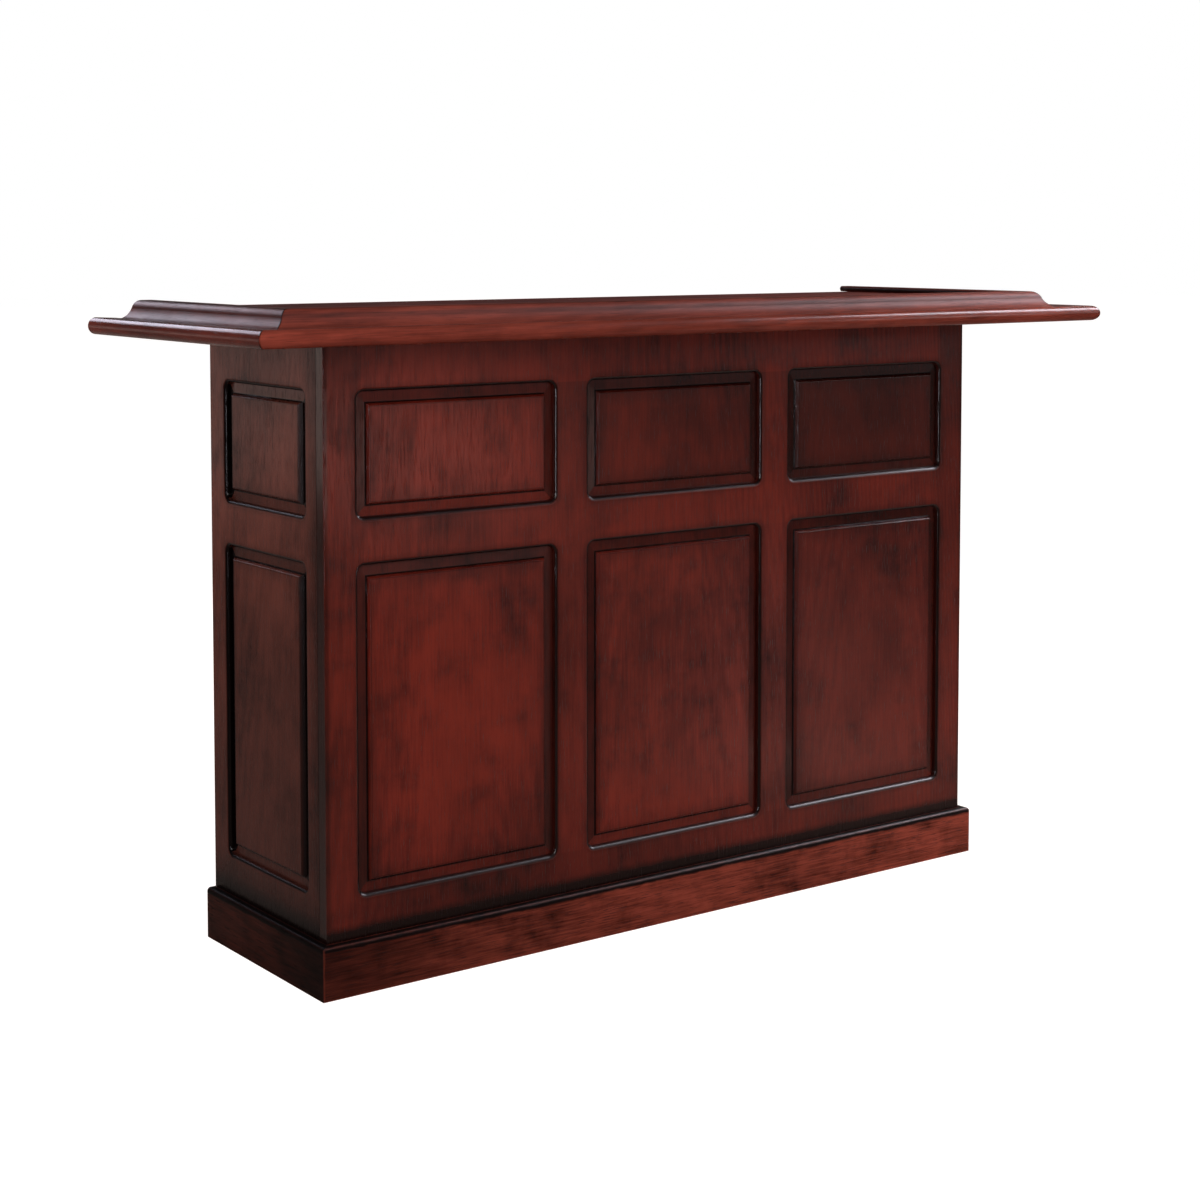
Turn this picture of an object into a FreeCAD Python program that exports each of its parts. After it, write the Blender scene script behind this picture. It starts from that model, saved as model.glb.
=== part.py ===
import FreeCAD, Part
import math
import os
import re
import Sketcher

# A home bar: a panelled counter with a moulded rail round its top, seen from the guests' side at -Y.
# The bartender's side, at +Y, has two drawers, two doors, open shelves and a rack for stemmed glasses.
# Lengths are in millimetres. The origin is on the floor at the middle of the bar, +Z is up.

sizes = {
    # the whole bar
    "overall_width": 1755,
    "overall_depth": 590,
    "overall_height": 1067,
    "front_overhang": 166,
    "side_overhang": 193.5,
    "back_overhang": 44,
    # plinth
    "plinth_height": 84,
    "plinth_thickness": 15,
    "plinth_rounding": 6,
    # bar rail, each reach measured inwards from the nose, each level from the underside
    "rail_height": 54,
    "rail_nose_height": 27.5,
    "rail_ledge_reach": 47,
    "rail_ledge_fall": 1.5,
    "rail_quirk_width": 1.5,
    "rail_quirk_drop": 2.5,
    "rail_cove_reach": 76,
    "rail_cove_level": 41,
    "rail_back_reach": 88,
    "rail_shoulder_reach": 93,
    "rail_lip_reach": 116,
    "rail_lip_thickness": 11,
    # top boards
    "bar_top_thickness": 18,
    "bar_top_setback": 12,
    "bar_top_rounding": 5,
    "cleat_size": 25,
    "screw_inset": 60,
    "screw_length": 35,
    "screw_radius": 2,
    "screw_head_radius": 4,
    "screw_head_depth": 2.5,
    "screw_fit": 0.1,
    # frames with raised panels
    "frame_thickness": 22,
    "edge_rounding": 7,
    "corner_rounding": 12,
    "arris_rounding": 1.5,
    "front_stile_width": 53,
    "front_muntin_width": 54.5,
    "bottom_rail_width": 60.5,
    "middle_rail_width": 61,
    "top_rail_width": 72.5,
    "upper_panel_height": 207.5,
    "end_rear_stile_width": 46,
    "end_front_stile_width": 32.5,
    "groove_inset": 9,
    "groove_width": 6.4,
    "groove_depth": 9,
    "tongue_fit": 0.2,
    "tongue_play": 2,
    "panel_bevel_width": 17,
    "panel_bevel_rise": 0.6,
    "panel_step_width": 4.5,
    "panel_field_inset": 1.6,
    "panel_arris_rounding": 1,
    # boards inside
    "board_thickness": 18,
    "kick_setback": 36,
    "drawer_bay_height": 160,
    "cabinet_shelf_height": 350,
    "lower_shelf_height": 290,
    "upper_shelf_drop": 331,
    "shelf_play": 1,
    "shelf_setback": 5,
    "shelf_rest_gap": 0.2,
    "shelf_pin_radius": 2.5,
    "shelf_pin_reach": 8,
    "shelf_pin_inset": 15,
    "shelf_pin_fit": 0.1,
    # glass rack
    "rack_spacer_width": 16,
    "rack_spacer_height": 22,
    "rack_side_gap": 28.4,
    "rack_slat_thickness": 9,
    "rack_slot": 36,
    "rack_end_gap": 15,
    # doors and drawers
    "front_gap": 2,
    "door_thickness": 20,
    "door_frame_width": 55,
    "door_groove_inset": 7,
    "drawer_side_gap": 6,
    "drawer_side_thickness": 12,
    "drawer_side_height": 110,
    "drawer_bottom_thickness": 6,
    "drawer_bottom_lift": 8,
    "drawer_bottom_entry": 5,
    "drawer_lift": 13,
    "drawer_back_gap": 20,
    "runner_height": 14,
    "runner_level": 60,
    "runner_entry": 6,
    "runner_fit": 0.3,
    # hinges, catches and knobs
    "hinge_gap": 2.4,
    "hinge_height": 50,
    "hinge_inset": 70,
    "leaf_thickness": 1,
    "leaf_width": 18,
    "barrel_radius": 4,
    "barrel_gap": 0.2,
    "knuckle_gap": 0.3,
    "hinge_pin_radius": 2,
    "hinge_pin_fit": 0.05,
    "hinge_pin_head": 1.5,
    "catch_width": 40,
    "catch_depth": 14,
    "catch_height": 12,
    "catch_inset": 25,
    "catch_gap": 0.3,
    "strike_thickness": 1,
    "strike_width": 30,
    "strike_height": 16,
    "knob_base_radius": 9,
    "knob_base_height": 3,
    "knob_neck_radius": 6,
    "knob_neck_height": 9,
    "knob_head_radius": 14,
    "knob_head_low": 15,
    "knob_head_high": 20,
    "knob_height": 26,
    # how far a cutting tool runs past what it cuts
    "overrun": 5,
}
rack_rails = 4
tolerance = 0.001

doc = FreeCAD.newDocument("home_bar")
sheet = doc.addObject("Spreadsheet::Sheet", "sizes")
for row, (alias, size) in enumerate(sizes.items(), start=1):
    sheet.set("A%d" % row, alias)
    sheet.set("B%d" % row, str(size))
    sheet.setAlias("B%d" % row, alias)
doc.recompute()

nodes = []


def formula(text):
    return re.sub(r"[a-z_]+", lambda word: "sizes." + word.group(), text)


def value(text):
    return float(sheet.evalExpression(formula(text)))


def bind(piece, **texts):
    for name, text in texts.items():
        piece.setExpression(name, formula(text))
    return piece


def place(piece, x, y, z, axis=(0, 0, 1), angle=0):
    turn = FreeCAD.Rotation(FreeCAD.Vector(*axis), angle)
    piece.Placement = FreeCAD.Placement(FreeCAD.Vector(0, 0, 0), turn)
    for name, text in zip("xyz", (x, y, z)):
        piece.setExpression("Placement.Base." + name, formula(text))
    return piece


def box(name, x, y, z):
    # a board between pairs of limits
    piece = doc.addObject("Part::Box", name)
    bind(piece, Length=f"{x[1]} - ({x[0]})", Width=f"{y[1]} - ({y[0]})", Height=f"{z[1]} - ({z[0]})")
    return place(piece, x[0], y[0], z[0])


def cylinder(name, radius, height, x, y, z, axis=(0, 0, 1), angle=0):
    piece = doc.addObject("Part::Cylinder", name)
    bind(piece, Radius=radius, Height=height)
    return place(piece, x, y, z, axis, angle)


def wedge(name, x, y, z, x2, z2):
    # a block that goes from the limits x, z at the first y to the limits x2, z2 at the second
    piece = doc.addObject("Part::Wedge", name)
    bind(piece, Xmin=x[0], Xmax=x[1], Ymin=y[0], Ymax=y[1], Zmin=z[0], Zmax=z[1])
    return bind(piece, X2min=x2[0], X2max=x2[1], Z2min=z2[0], Z2max=z2[1])


def cut(name, base, tool):
    piece = doc.addObject("Part::Cut", name)
    piece.Base = base
    piece.Tool = tool
    return piece


def common(name, base, tool):
    piece = doc.addObject("Part::Common", name)
    piece.Base = base
    piece.Tool = tool
    return piece


def fuse(name, pieces):
    piece = doc.addObject("Part::MultiFuse", name)
    piece.Shapes = pieces
    return piece


def group(name, pieces):
    piece = doc.addObject("Part::Compound", name)
    piece.Links = pieces
    return piece


def mirrored(name, source):
    # the same piece on the other side of the bar
    piece = doc.addObject("Part::Mirroring", name)
    piece.Source = source
    piece.Normal = FreeCAD.Vector(1, 0, 0)
    return piece


def rounded(name, base, radius, pick):
    doc.recompute()
    piece = doc.addObject("Part::Fillet", name)
    piece.Base = base
    size = value(radius)
    edges = enumerate(base.Shape.Edges, start=1)
    piece.Edges = [(number, size, size) for number, edge in edges if pick(edge)]
    return piece


def node(piece, label):
    piece.Label = label
    nodes.append(piece)
    return piece


def both_sides(piece, label):
    # a left piece and its twin on the right
    node(piece, label % "left")
    node(mirrored(piece.Name + "_twin", piece), label % "right")


def near(number, text):
    return abs(number - value(text)) < tolerance


def lies_at(edge, axis, text):
    return all(near(getattr(vertex, axis), text) for vertex in edge.Vertexes)


def runs_along(edge, axis):
    ends = edge.Vertexes
    return len(ends) == 2 and abs(getattr(edge.tangentAt(edge.FirstParameter), axis)) > 1 - tolerance


# Places that several pieces share

half_width = "(overall_width / 2)"
nose_y = "(-overall_depth / 2)"
tail_y = "(overall_depth / 2)"
body_top = "(overall_height - rail_height)"
front_y = f"({nose_y} + front_overhang)"
inside_y = f"({front_y} + frame_thickness)"
body_depth = "(overall_depth - front_overhang - back_overhang)"
rear_y = f"({front_y} + {body_depth})"
body_width = "(overall_width - 2 * side_overhang)"
body_left = f"(-{body_width} / 2)"
wall_x = f"({body_left} + frame_thickness)"
recess_width = f"(({body_width} - 2 * front_stile_width - 2 * front_muntin_width) / 3)"
partition_x = f"(-({recess_width} + front_muntin_width) / 2)"
bay_right = f"({partition_x} - board_thickness / 2)"
middle_left = f"({partition_x} + board_thickness / 2)"
floor_top = "(plinth_height + board_thickness)"
drawer_low = f"({body_top} - drawer_bay_height)"
front_back_y = f"({rear_y} - door_thickness)"


# Bar rail: a nose, a ledge, a quirk, a cove and a shoulder up to a lip that laps over the bar top

def outline(body, name, points, arcs):
    # A closed outline in the body's XZ plane. arcs maps the number of a stretch to the end, start or
    # both, whose x its centre shares, and to the way round that it goes.
    sketch = body.newObject("Sketcher::SketchObject", name)
    plane = [item for item in body.Origin.OriginFeatures if item.Role == "XZ_Plane"][0]
    sketch.AttachmentSupport = [(plane, "")]
    sketch.MapMode = "FlatFace"
    corners = [FreeCAD.Vector(value(x), value(y), 0) for x, y in points]
    ends = []
    for number, start in enumerate(corners):
        end = corners[(number + 1) % len(corners)]
        if number not in arcs:
            ends.append((sketch.addGeometry(Part.LineSegment(start, end)), 1, 2))
            continue
        anchor, turn = arcs[number]
        centre_x = end.x if anchor == "end" else start.x
        far = start if anchor == "end" else end
        tip = end if anchor == "end" else start
        rise = tip.y - far.y
        centre_y = (far.y + tip.y - (far.x - tip.x) ** 2 / rise) / 2
        centre = FreeCAD.Vector(centre_x, centre_y, 0)
        first, last = (start, end) if turn == "left" else (end, start)
        angles = [math.atan2(point.y - centre.y, point.x - centre.x) for point in (first, last)]
        circle = Part.Circle(centre, FreeCAD.Vector(0, 0, 1), (start - centre).Length)
        arc = sketch.addGeometry(Part.ArcOfCircle(circle, *angles))
        ends.append((arc, 1, 2) if turn == "left" else (arc, 2, 1))
    for number, (line, head, tail) in enumerate(ends):
        following = ends[(number + 1) % len(ends)]
        sketch.addConstraint(Sketcher.Constraint("Coincident", line, tail, following[0], following[1]))
    for (line, head, tail), texts in zip(ends, points):
        for kind, text in zip(("DistanceX", "DistanceY"), texts):
            if text == "0":
                axis = -2 if kind == "DistanceX" else -1
                sketch.addConstraint(Sketcher.Constraint("PointOnObject", line, head, axis))
                continue
            limit = Sketcher.Constraint(kind, -1, 1, line, head, value(text))
            sketch.setExpression("Constraints[%d]" % sketch.addConstraint(limit), formula(text))
    for number, (anchor, turn) in arcs.items():
        line, head, tail = ends[number]
        held = tail if anchor == "end" else head
        sketch.addConstraint(Sketcher.Constraint("Vertical", line, 3, line, held))
    return sketch


def rail_stock(name, length):
    # a straight length of the moulding: its nose at x = 0, its underside at z = 0, running along +Y
    body = doc.addObject("PartDesign::Body", name)
    nose = "rail_nose_height / 2"
    quirk_reach = "rail_ledge_reach + rail_quirk_width"
    ledge_level = "rail_nose_height - rail_ledge_fall"
    lip_tip = "rail_lip_reach - rail_lip_thickness / 2"
    lip_under = "rail_height - rail_lip_thickness"
    points = [
        (nose, "rail_nose_height"),
        (nose, "0"),
        ("rail_back_reach", "0"),
        ("rail_back_reach", lip_under),
        (lip_tip, lip_under),
        (lip_tip, "rail_height"),
        ("rail_shoulder_reach", "rail_height"),
        ("rail_cove_reach", "rail_cove_level"),
        (quirk_reach, f"{ledge_level} - rail_quirk_drop"),
        ("rail_ledge_reach", ledge_level),
    ]
    arcs = {0: ("both", "left"), 4: ("both", "left"), 6: ("start", "left"), 7: ("end", "right")}
    stock = body.newObject("PartDesign::Pad", name + "_length")
    stock.Profile = outline(body, name + "_section", points, arcs)
    stock.Reversed = True
    bind(stock, Length=length)
    return body


mitre_depth = "(rail_lip_reach + overrun)"
mitre = wedge("rail_mitre",
              (f"-{half_width}", half_width),
              (nose_y, f"{nose_y} + {mitre_depth}"),
              (f"{body_top} - overrun", "overall_height + overrun"),
              (f"{mitre_depth} - {half_width}", f"{half_width} - {mitre_depth}"),
              (f"{body_top} - overrun", "overall_height + overrun"))
front_stock = rail_stock("front_rail_stock", "overall_width")
place(front_stock, half_width, nose_y, body_top, angle=90)
node(common("rail_front", front_stock, mitre), "bar_rail_front")
side_stock = rail_stock("side_rail_stock", "overall_depth")
place(side_stock, f"-{half_width}", nose_y, body_top)
both_sides(cut("rail_left", side_stock, mitre), "bar_rail_%s")


# Top boards inside the rail, held down by screws through cleats

top_x = (f"rail_back_reach - {half_width}", f"{half_width} - rail_back_reach")
top_y = (f"{nose_y} + rail_back_reach", f"{tail_y} - bar_top_setback")
top_seam = "(overall_height - rail_lip_thickness - bar_top_thickness)"
top_board = box("top_board", top_x, top_y, (top_seam, "overall_height - rail_lip_thickness"))
node(rounded("top_nosed", top_board, "bar_top_rounding",
             lambda edge: lies_at(edge, "Y", top_y[1]) and runs_along(edge, "x")), "bar_top")

cleat_z = (f"{body_top} - cleat_size", body_top)
cleat_y = (inside_y, f"{inside_y} + cleat_size")
end_cleat_y = (cleat_y[1], f"{front_back_y} - cleat_size")
cleat_left = box("cleat_left", (wall_x, bay_right), cleat_y, cleat_z)
cleat_middle = box("cleat_middle", (middle_left, f"-{middle_left}"), cleat_y, cleat_z)
cleat_end = box("cleat_end", (wall_x, f"{wall_x} + cleat_size"), end_cleat_y, cleat_z)
cleats = [cleat_left, mirrored("cleat_right", cleat_left), cleat_middle,
          cleat_end, mirrored("cleat_end_right", cleat_end)]
screw_y = f"{inside_y} + cleat_size / 2"
end_screw_x = f"{wall_x} + cleat_size / 2"
screw_places = [
    (f"{wall_x} + screw_inset", screw_y),
    (f"{bay_right} - screw_inset", screw_y),
    (f"{middle_left} + screw_inset", screw_y),
    (end_screw_x, f"{end_cleat_y[0]} + screw_inset"),
    (end_screw_x, f"{end_cleat_y[1]} - screw_inset"),
]


def screw(name, x, y, extra):
    # a countersunk wood screw driven upwards, or the hole for it
    shank = cylinder(name + "_shank", f"screw_radius + {extra}", f"screw_length + {extra}", x, y, cleat_z[0])
    head = doc.addObject("Part::Cone", name + "_head")
    bind(head, Radius1=f"screw_head_radius + {extra}", Radius2=f"screw_radius + {extra}")
    bind(head, Height=f"screw_head_depth + {extra}")
    place(head, x, y, cleat_z[0])
    return fuse(name, [shank, head])


def both_halves(name, pieces):
    return group(name, pieces + [mirrored(piece.Name + "_right", piece) for piece in pieces])


screws = [screw("screw_%d" % number, x, y, "0") for number, (x, y) in enumerate(screw_places)]
holes = [screw("screw_hole_%d" % number, x, y, "screw_fit") for number, (x, y) in enumerate(screw_places)]
node(both_halves("screw_set", screws), "cleat_screws")
screw_holes = both_halves("screw_hole_set", holes)
node(cut("cleats_drilled", group("cleat_set", cleats), screw_holes), "top_cleats")
under_board = box("under_board", top_x, top_y, (body_top, top_seam))
node(cut("under_board_drilled", under_board, screw_holes), "sub_top")


# Frames with raised panels: grooved stiles and rails with stub tenons, routed after assembly so that
# the rounded edge of each opening turns its corners in a small arc

def routed_blank(name, width, height, thickness, openings):
    body = doc.addObject("PartDesign::Body", name)
    slab = body.newObject("PartDesign::AdditiveBox", name + "_slab")
    bind(slab, Length=width, Width=thickness, Height=height)
    feature = slab
    for number, (x, z) in enumerate(openings):
        feature = body.newObject("PartDesign::SubtractiveBox", "%s_opening_%d" % (name, number))
        bind(feature, Length=f"{x[1]} - ({x[0]})", Height=f"{z[1]} - ({z[0]})")
        bind(feature, Width=f"{thickness} + 2 * overrun")
        place(feature, x[0], "-overrun", z[0])

    def outside(edge):
        return any(lies_at(edge, axis, text)
                   for axis, text in (("X", "0"), ("X", width), ("Z", "0"), ("Z", height)))

    def fillet(suffix, base, radius, pick):
        doc.recompute()
        round_off = body.newObject("PartDesign::Fillet", name + suffix)
        edges = enumerate(base.Shape.Edges, start=1)
        round_off.Base = (base, ["Edge%d" % number for number, edge in edges if pick(edge)])
        return bind(round_off, Radius=radius)

    corners = fillet("_corners", feature, "corner_rounding",
                     lambda edge: runs_along(edge, "y") and not outside(edge))
    edges = fillet("_edges", corners, "edge_rounding",
                   lambda edge: lies_at(edge, "Y", "0") and not outside(edge))
    fillet("_arris", edges, "arris_rounding",
           lambda edge: lies_at(edge, "Y", "0") and runs_along(edge, "z")
           and (lies_at(edge, "X", "0") or lies_at(edge, "X", width)))
    return body


def raised_panel(name, x, z, inset):
    # a tongue all round, a nearly flat bevel and a steep step up to the field
    def ring(limits, margin):
        return (f"{limits[0]} + {margin}", f"{limits[1]} - ({margin})")

    tongue = "(tongue_play - groove_depth)"
    shoulder_y = f"{inset} + tongue_fit"
    bevel_y = f"{shoulder_y} - panel_bevel_rise"
    step = "panel_bevel_width + panel_step_width"
    board = box(name + "_board", ring(x, tongue), (shoulder_y, f"{inset} + groove_width - tongue_fit"),
                ring(z, tongue))
    bevel = wedge(name + "_bevel", ring(x, "panel_bevel_width"), (bevel_y, shoulder_y),
                  ring(z, "panel_bevel_width"), x, z)
    field = wedge(name + "_field", ring(x, step), ("panel_field_inset", bevel_y), ring(z, step),
                  ring(x, "panel_bevel_width"), ring(z, "panel_bevel_width"))
    solid = fuse(name + "_solid", [board, bevel, field])
    return rounded(name, solid, "panel_arris_rounding",
                   lambda edge: lies_at(edge, "Y", "panel_field_inset"))


def panel_frame(name, width, height, thickness, inset, columns, rows):
    # Stands with its face at y = 0 and its lower left corner at the origin. columns and rows are the
    # limits of the recesses at the face.
    def through(limits):
        return (f"{limits[0]} + edge_rounding", f"{limits[1]} - edge_rounding")

    columns = [through(limits) for limits in columns]
    rows = [through(limits) for limits in rows]
    openings = [(x, z) for z in rows for x in columns]
    groove_y = (inset, f"{inset} + groove_width")
    body = routed_blank(name + "_blank", width, height, thickness, openings)
    grooves = [box("%s_groove_%d" % (name, number),
                   (f"{x[0]} - groove_depth", f"{x[1]} + groove_depth"), groove_y,
                   (f"{z[0]} - groove_depth", f"{z[1]} + groove_depth"))
               for number, (x, z) in enumerate(openings)]
    blank = cut(name + "_grooved", body, fuse(name + "_grooves", grooves) if len(grooves) > 1 else grooves[0])

    deep = ("-overrun", f"{thickness} + overrun")
    frame_x = ("0", width)
    frame_z = ("0", height)
    inner_x = (columns[0][0], columns[-1][1])
    stile_x = [(frame_x[0], inner_x[0]), (inner_x[1], frame_x[1])]
    rail_low = [frame_z[0]] + [z[1] for z in rows]
    rail_high = [z[0] for z in rows] + [frame_z[1]]
    rail_z = list(zip(rail_low, rail_high))
    muntin_x = [(left[1], right[0]) for left, right in zip(columns, columns[1:])]

    def tenon(label, x, z):
        return box("%s_%s" % (name, label), x, groove_y, z)

    def shoulders(limits):
        return (f"{limits[0]} + groove_depth", f"{limits[1]} - groove_depth")

    left_x = (f"{inner_x[0]} - groove_depth", inner_x[0])
    right_x = (inner_x[1], f"{inner_x[1]} + groove_depth")
    left_tenons = [tenon("left_tenon_%d" % row, left_x, shoulders(z)) for row, z in enumerate(rail_z)]
    right_tenons = [tenon("right_tenon_%d" % row, right_x, shoulders(z)) for row, z in enumerate(rail_z)]
    stiles = []
    for side, x, tenons in zip(("first", "last"), stile_x, (left_tenons, right_tenons)):
        plain = common("%s_%s_plain" % (name, side), blank,
                       box("%s_%s_limits" % (name, side), x, deep, frame_z))
        mortises = fuse("%s_%s_mortises" % (name, side), tenons)
        stiles.append(cut("%s_%s_stile" % (name, side), plain, mortises))

    muntins = []
    rail_mortises = [[] for z in rail_z]
    for row, z in enumerate(rows):
        for number, x in enumerate(muntin_x):
            label = "muntin_%d_%d" % (row, number)
            plain = common("%s_%s_plain" % (name, label), blank,
                           box("%s_%s_limits" % (name, label), x, deep, z))
            foot = tenon(label + "_foot", shoulders(x), (f"{z[0]} - groove_depth", z[0]))
            head = tenon(label + "_head", shoulders(x), (z[1], f"{z[1]} + groove_depth"))
            rail_mortises[row].append(foot)
            rail_mortises[row + 1].append(head)
            muntins.append(fuse("%s_%s" % (name, label), [plain, foot, head]))

    rails = []
    for number, z in enumerate(rail_z):
        label = "%s_rail_%d" % (name, number)
        reach = (f"{z[0]} - {'corner_rounding' if number else 0}",
                 f"{z[1]} + {'corner_rounding' if number < len(rows) else 0}")
        corners = [box("%s_corners_%d" % (label, column), x, deep, reach) for column, x in enumerate(columns)]
        limits = fuse(label + "_limits", [box(label + "_length", inner_x, deep, z)] + corners)
        plain = common(label + "_plain", blank, limits)
        rail = fuse(label + "_tenoned", [plain, left_tenons[number], right_tenons[number]])
        if rail_mortises[number]:
            rail = cut(label, rail, fuse(label + "_mortises", rail_mortises[number]))
        rails.append(rail)

    panels = [[raised_panel("%s_panel_%d_%d" % (name, row, column), x, z, inset)
               for column, x in enumerate(columns)] for row, z in enumerate(rows)]
    return stiles, rails, muntins, panels


column_pitch = f"({recess_width} + front_muntin_width)"
recess_left = [f"(front_stile_width + {number} * {column_pitch})" for number in range(3)]
front_columns = [(left, f"({left} + {recess_width})") for left in recess_left]
upper_top = f"({body_top} - top_rail_width)"
upper_low = f"({upper_top} - upper_panel_height)"
panel_rows = [("(plinth_height + bottom_rail_width)", f"({upper_low} - middle_rail_width)"),
              (upper_low, upper_top)]

stiles, rails, muntins, panels = panel_frame("front", body_width, body_top, "frame_thickness",
                                             "groove_inset", front_columns, panel_rows)
front_pieces = list(zip(stiles, ("front_stile_left", "front_stile_right")))
front_pieces += zip(rails, ("front_rail_bottom", "front_rail_middle", "front_rail_top"))
for row, level in zip(panels, ("lower", "upper")):
    front_pieces += zip(row, ["front_panel_%s_%s" % (level, side) for side in ("left", "middle", "right")])
for piece, label in front_pieces:
    node(place(piece, body_left, front_y, "0"), label)
for piece in muntins:
    place(piece, body_left, front_y, "0")
node(group("front_muntin_set", muntins), "front_muntins")

end_width = f"({body_depth} - frame_thickness)"
end_columns = [("end_rear_stile_width", f"({end_width} - end_front_stile_width)")]
end_stiles, rails, muntins, panels = panel_frame("end", end_width, body_top, "frame_thickness",
                                                 "groove_inset", end_columns, panel_rows)
end_panels = [row[0] for row in panels]
for piece in end_stiles + rails + end_panels:
    place(piece, body_left, rear_y, "0", angle=-90)
both_sides(group("end_rail_set", rails), "%s_end_rails")
both_sides(group("end_panel_set", end_panels), "%s_end_panels")


# Plinth boards, mitred at the front corners, and the kick board that closes the base behind

plinth_x = f"({body_left} - plinth_thickness)"
plinth_y = f"({front_y} - plinth_thickness)"
plinth_mitre = wedge("plinth_mitre", (plinth_x, f"-{plinth_x}"), (plinth_y, front_y),
                     ("-overrun", "plinth_height + overrun"), (body_left, f"-{body_left}"),
                     ("-overrun", "plinth_height + overrun"))
plinth_board = box("plinth_board", (plinth_x, f"-{plinth_x}"), (plinth_y, front_y), ("0", "plinth_height"))
plinth_front = rounded("plinth_front_rounded", plinth_board, "plinth_rounding",
                       lambda edge: lies_at(edge, "Y", plinth_y) and lies_at(edge, "Z", "plinth_height"))
node(common("plinth_front_mitred", plinth_front, plinth_mitre), "plinth_front")
plinth_end = box("plinth_end", (plinth_x, body_left), (plinth_y, rear_y), ("0", "plinth_height"))
plinth_side = rounded("plinth_end_rounded", plinth_end, "plinth_rounding",
                      lambda edge: lies_at(edge, "X", plinth_x) and lies_at(edge, "Z", "plinth_height"))
both_sides(cut("plinth_end_mitred", plinth_side, plinth_mitre), "plinth_%s")
kick_y = f"({rear_y} - kick_setback)"
node(box("kick", (wall_x, f"-{wall_x}"), (f"{kick_y} - board_thickness", kick_y), ("0", "plinth_height")),
     "kick_board")


# Floor, partitions, dividers, and shelves that rest on pins

inside_depth = (inside_y, rear_y)
node(box("floor", (wall_x, f"-{wall_x}"), inside_depth, ("plinth_height", floor_top)), "floor_board")
divider = box("divider", (wall_x, bay_right), inside_depth, (f"{drawer_low} - board_thickness", drawer_low))
node(both_halves("dividers", [divider]), "drawer_dividers")

shelf_y = (f"{inside_y} + shelf_play", f"{front_back_y} - shelf_setback")


def shelf(name, x, low):
    return box(name, (f"{x[0]} + shelf_play", f"{x[1]} - shelf_play"), shelf_y,
               (low, f"{low} + board_thickness"))


middle_x = (middle_left, f"-{middle_left}")
cabinet_level = f"({floor_top} + cabinet_shelf_height)"
lower_level = f"({floor_top} + lower_shelf_height)"
upper_level = f"({body_top} - upper_shelf_drop)"
cabinet_shelf = shelf("cabinet_shelf", (wall_x, bay_right), cabinet_level)
node(both_halves("cabinet_shelf_pair", [cabinet_shelf]), "cabinet_shelves")
lower_shelf = shelf("lower_shelf", middle_x, lower_level)
upper_shelf = shelf("upper_shelf", middle_x, upper_level)
node(group("middle_shelf_pair", [lower_shelf, upper_shelf]), "middle_shelves")

pin_rows = (f"{inside_y} + shelf_pin_inset", f"{shelf_y[1]} - shelf_pin_inset")
pin_walls = [(wall_x, cabinet_level), (bay_right, cabinet_level),
             (middle_left, lower_level), (middle_left, upper_level)]


def shelf_pins(name, extra):
    # pins that stand half in the wall, or the holes for them
    rods = []
    for number, (wall, shelf_low) in enumerate(pin_walls):
        level = f"{shelf_low} - shelf_rest_gap - shelf_pin_radius"
        for end, y in zip(("front", "rear"), pin_rows):
            reach = f"shelf_pin_reach + {extra}"
            rods.append(cylinder("%s_%d_%s" % (name, number, end), f"shelf_pin_radius + {extra}",
                                 f"2 * ({reach})", f"{wall} - ({reach})", y, level, (0, 1, 0), 90))
    return rods


node(both_halves("shelf_pin_set", shelf_pins("shelf_pin", "0")), "shelf_pins")
pin_holes = group("pin_holes", shelf_pins("pin_hole", "shelf_pin_fit"))
partition = box("partition", (bay_right, middle_left), inside_depth, (floor_top, body_top))
both_sides(cut("partition_drilled", partition, pin_holes), "partition_%s")
both_sides(cut("end_stiles_drilled", group("end_stile_set", end_stiles), pin_holes), "%s_end_stiles")


# Rack for stemmed glasses: slats hung on spacers under the sub top

rack_slat = f"((-2 * {middle_left} - 2 * rack_side_gap - {rack_rails - 1} * rack_slot) / {rack_rails})"
rack_pitch = f"({rack_slat} + rack_slot)"
rack_y = (f"{cleat_y[1]} + rack_end_gap", f"{rear_y} - rack_end_gap")
spacer_low = f"({body_top} - rack_spacer_height)"
strips = []
for number in range(rack_rails):
    centre = f"({number - (rack_rails - 1) / 2} * {rack_pitch})"
    strips.append(box("rack_spacer_%d" % number,
                      (f"{centre} - rack_spacer_width / 2", f"{centre} + rack_spacer_width / 2"),
                      rack_y, (spacer_low, body_top)))
    strips.append(box("rack_slat_%d" % number,
                      (f"{centre} - {rack_slat} / 2", f"{centre} + {rack_slat} / 2"),
                      rack_y, (f"{spacer_low} - rack_slat_thickness", spacer_low)))
node(group("rack_strips", strips), "glass_rack")


# Knobs, turned

def knob(name, x, y, z):
    body = doc.addObject("PartDesign::Body", name)
    points = [
        ("0", "0"),
        ("knob_base_radius", "0"),
        ("knob_base_radius", "knob_base_height"),
        ("knob_neck_radius", "knob_base_height"),
        ("knob_neck_radius", "knob_neck_height"),
        ("knob_head_radius", "knob_head_low"),
        ("knob_head_radius", "knob_head_high"),
        ("0", "knob_height"),
    ]
    section = outline(body, name + "_section", points, {6: ("end", "left")})
    turned = body.newObject("PartDesign::Revolution", name + "_turned")
    turned.Profile = section
    turned.ReferenceAxis = (section, ["V_Axis"])
    turned.Angle = 360
    return place(body, x, y, z, (1, 0, 0), -90)


# Drawers: a front, two grooved sides, a back that stands on the bottom, and runners on the walls

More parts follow.
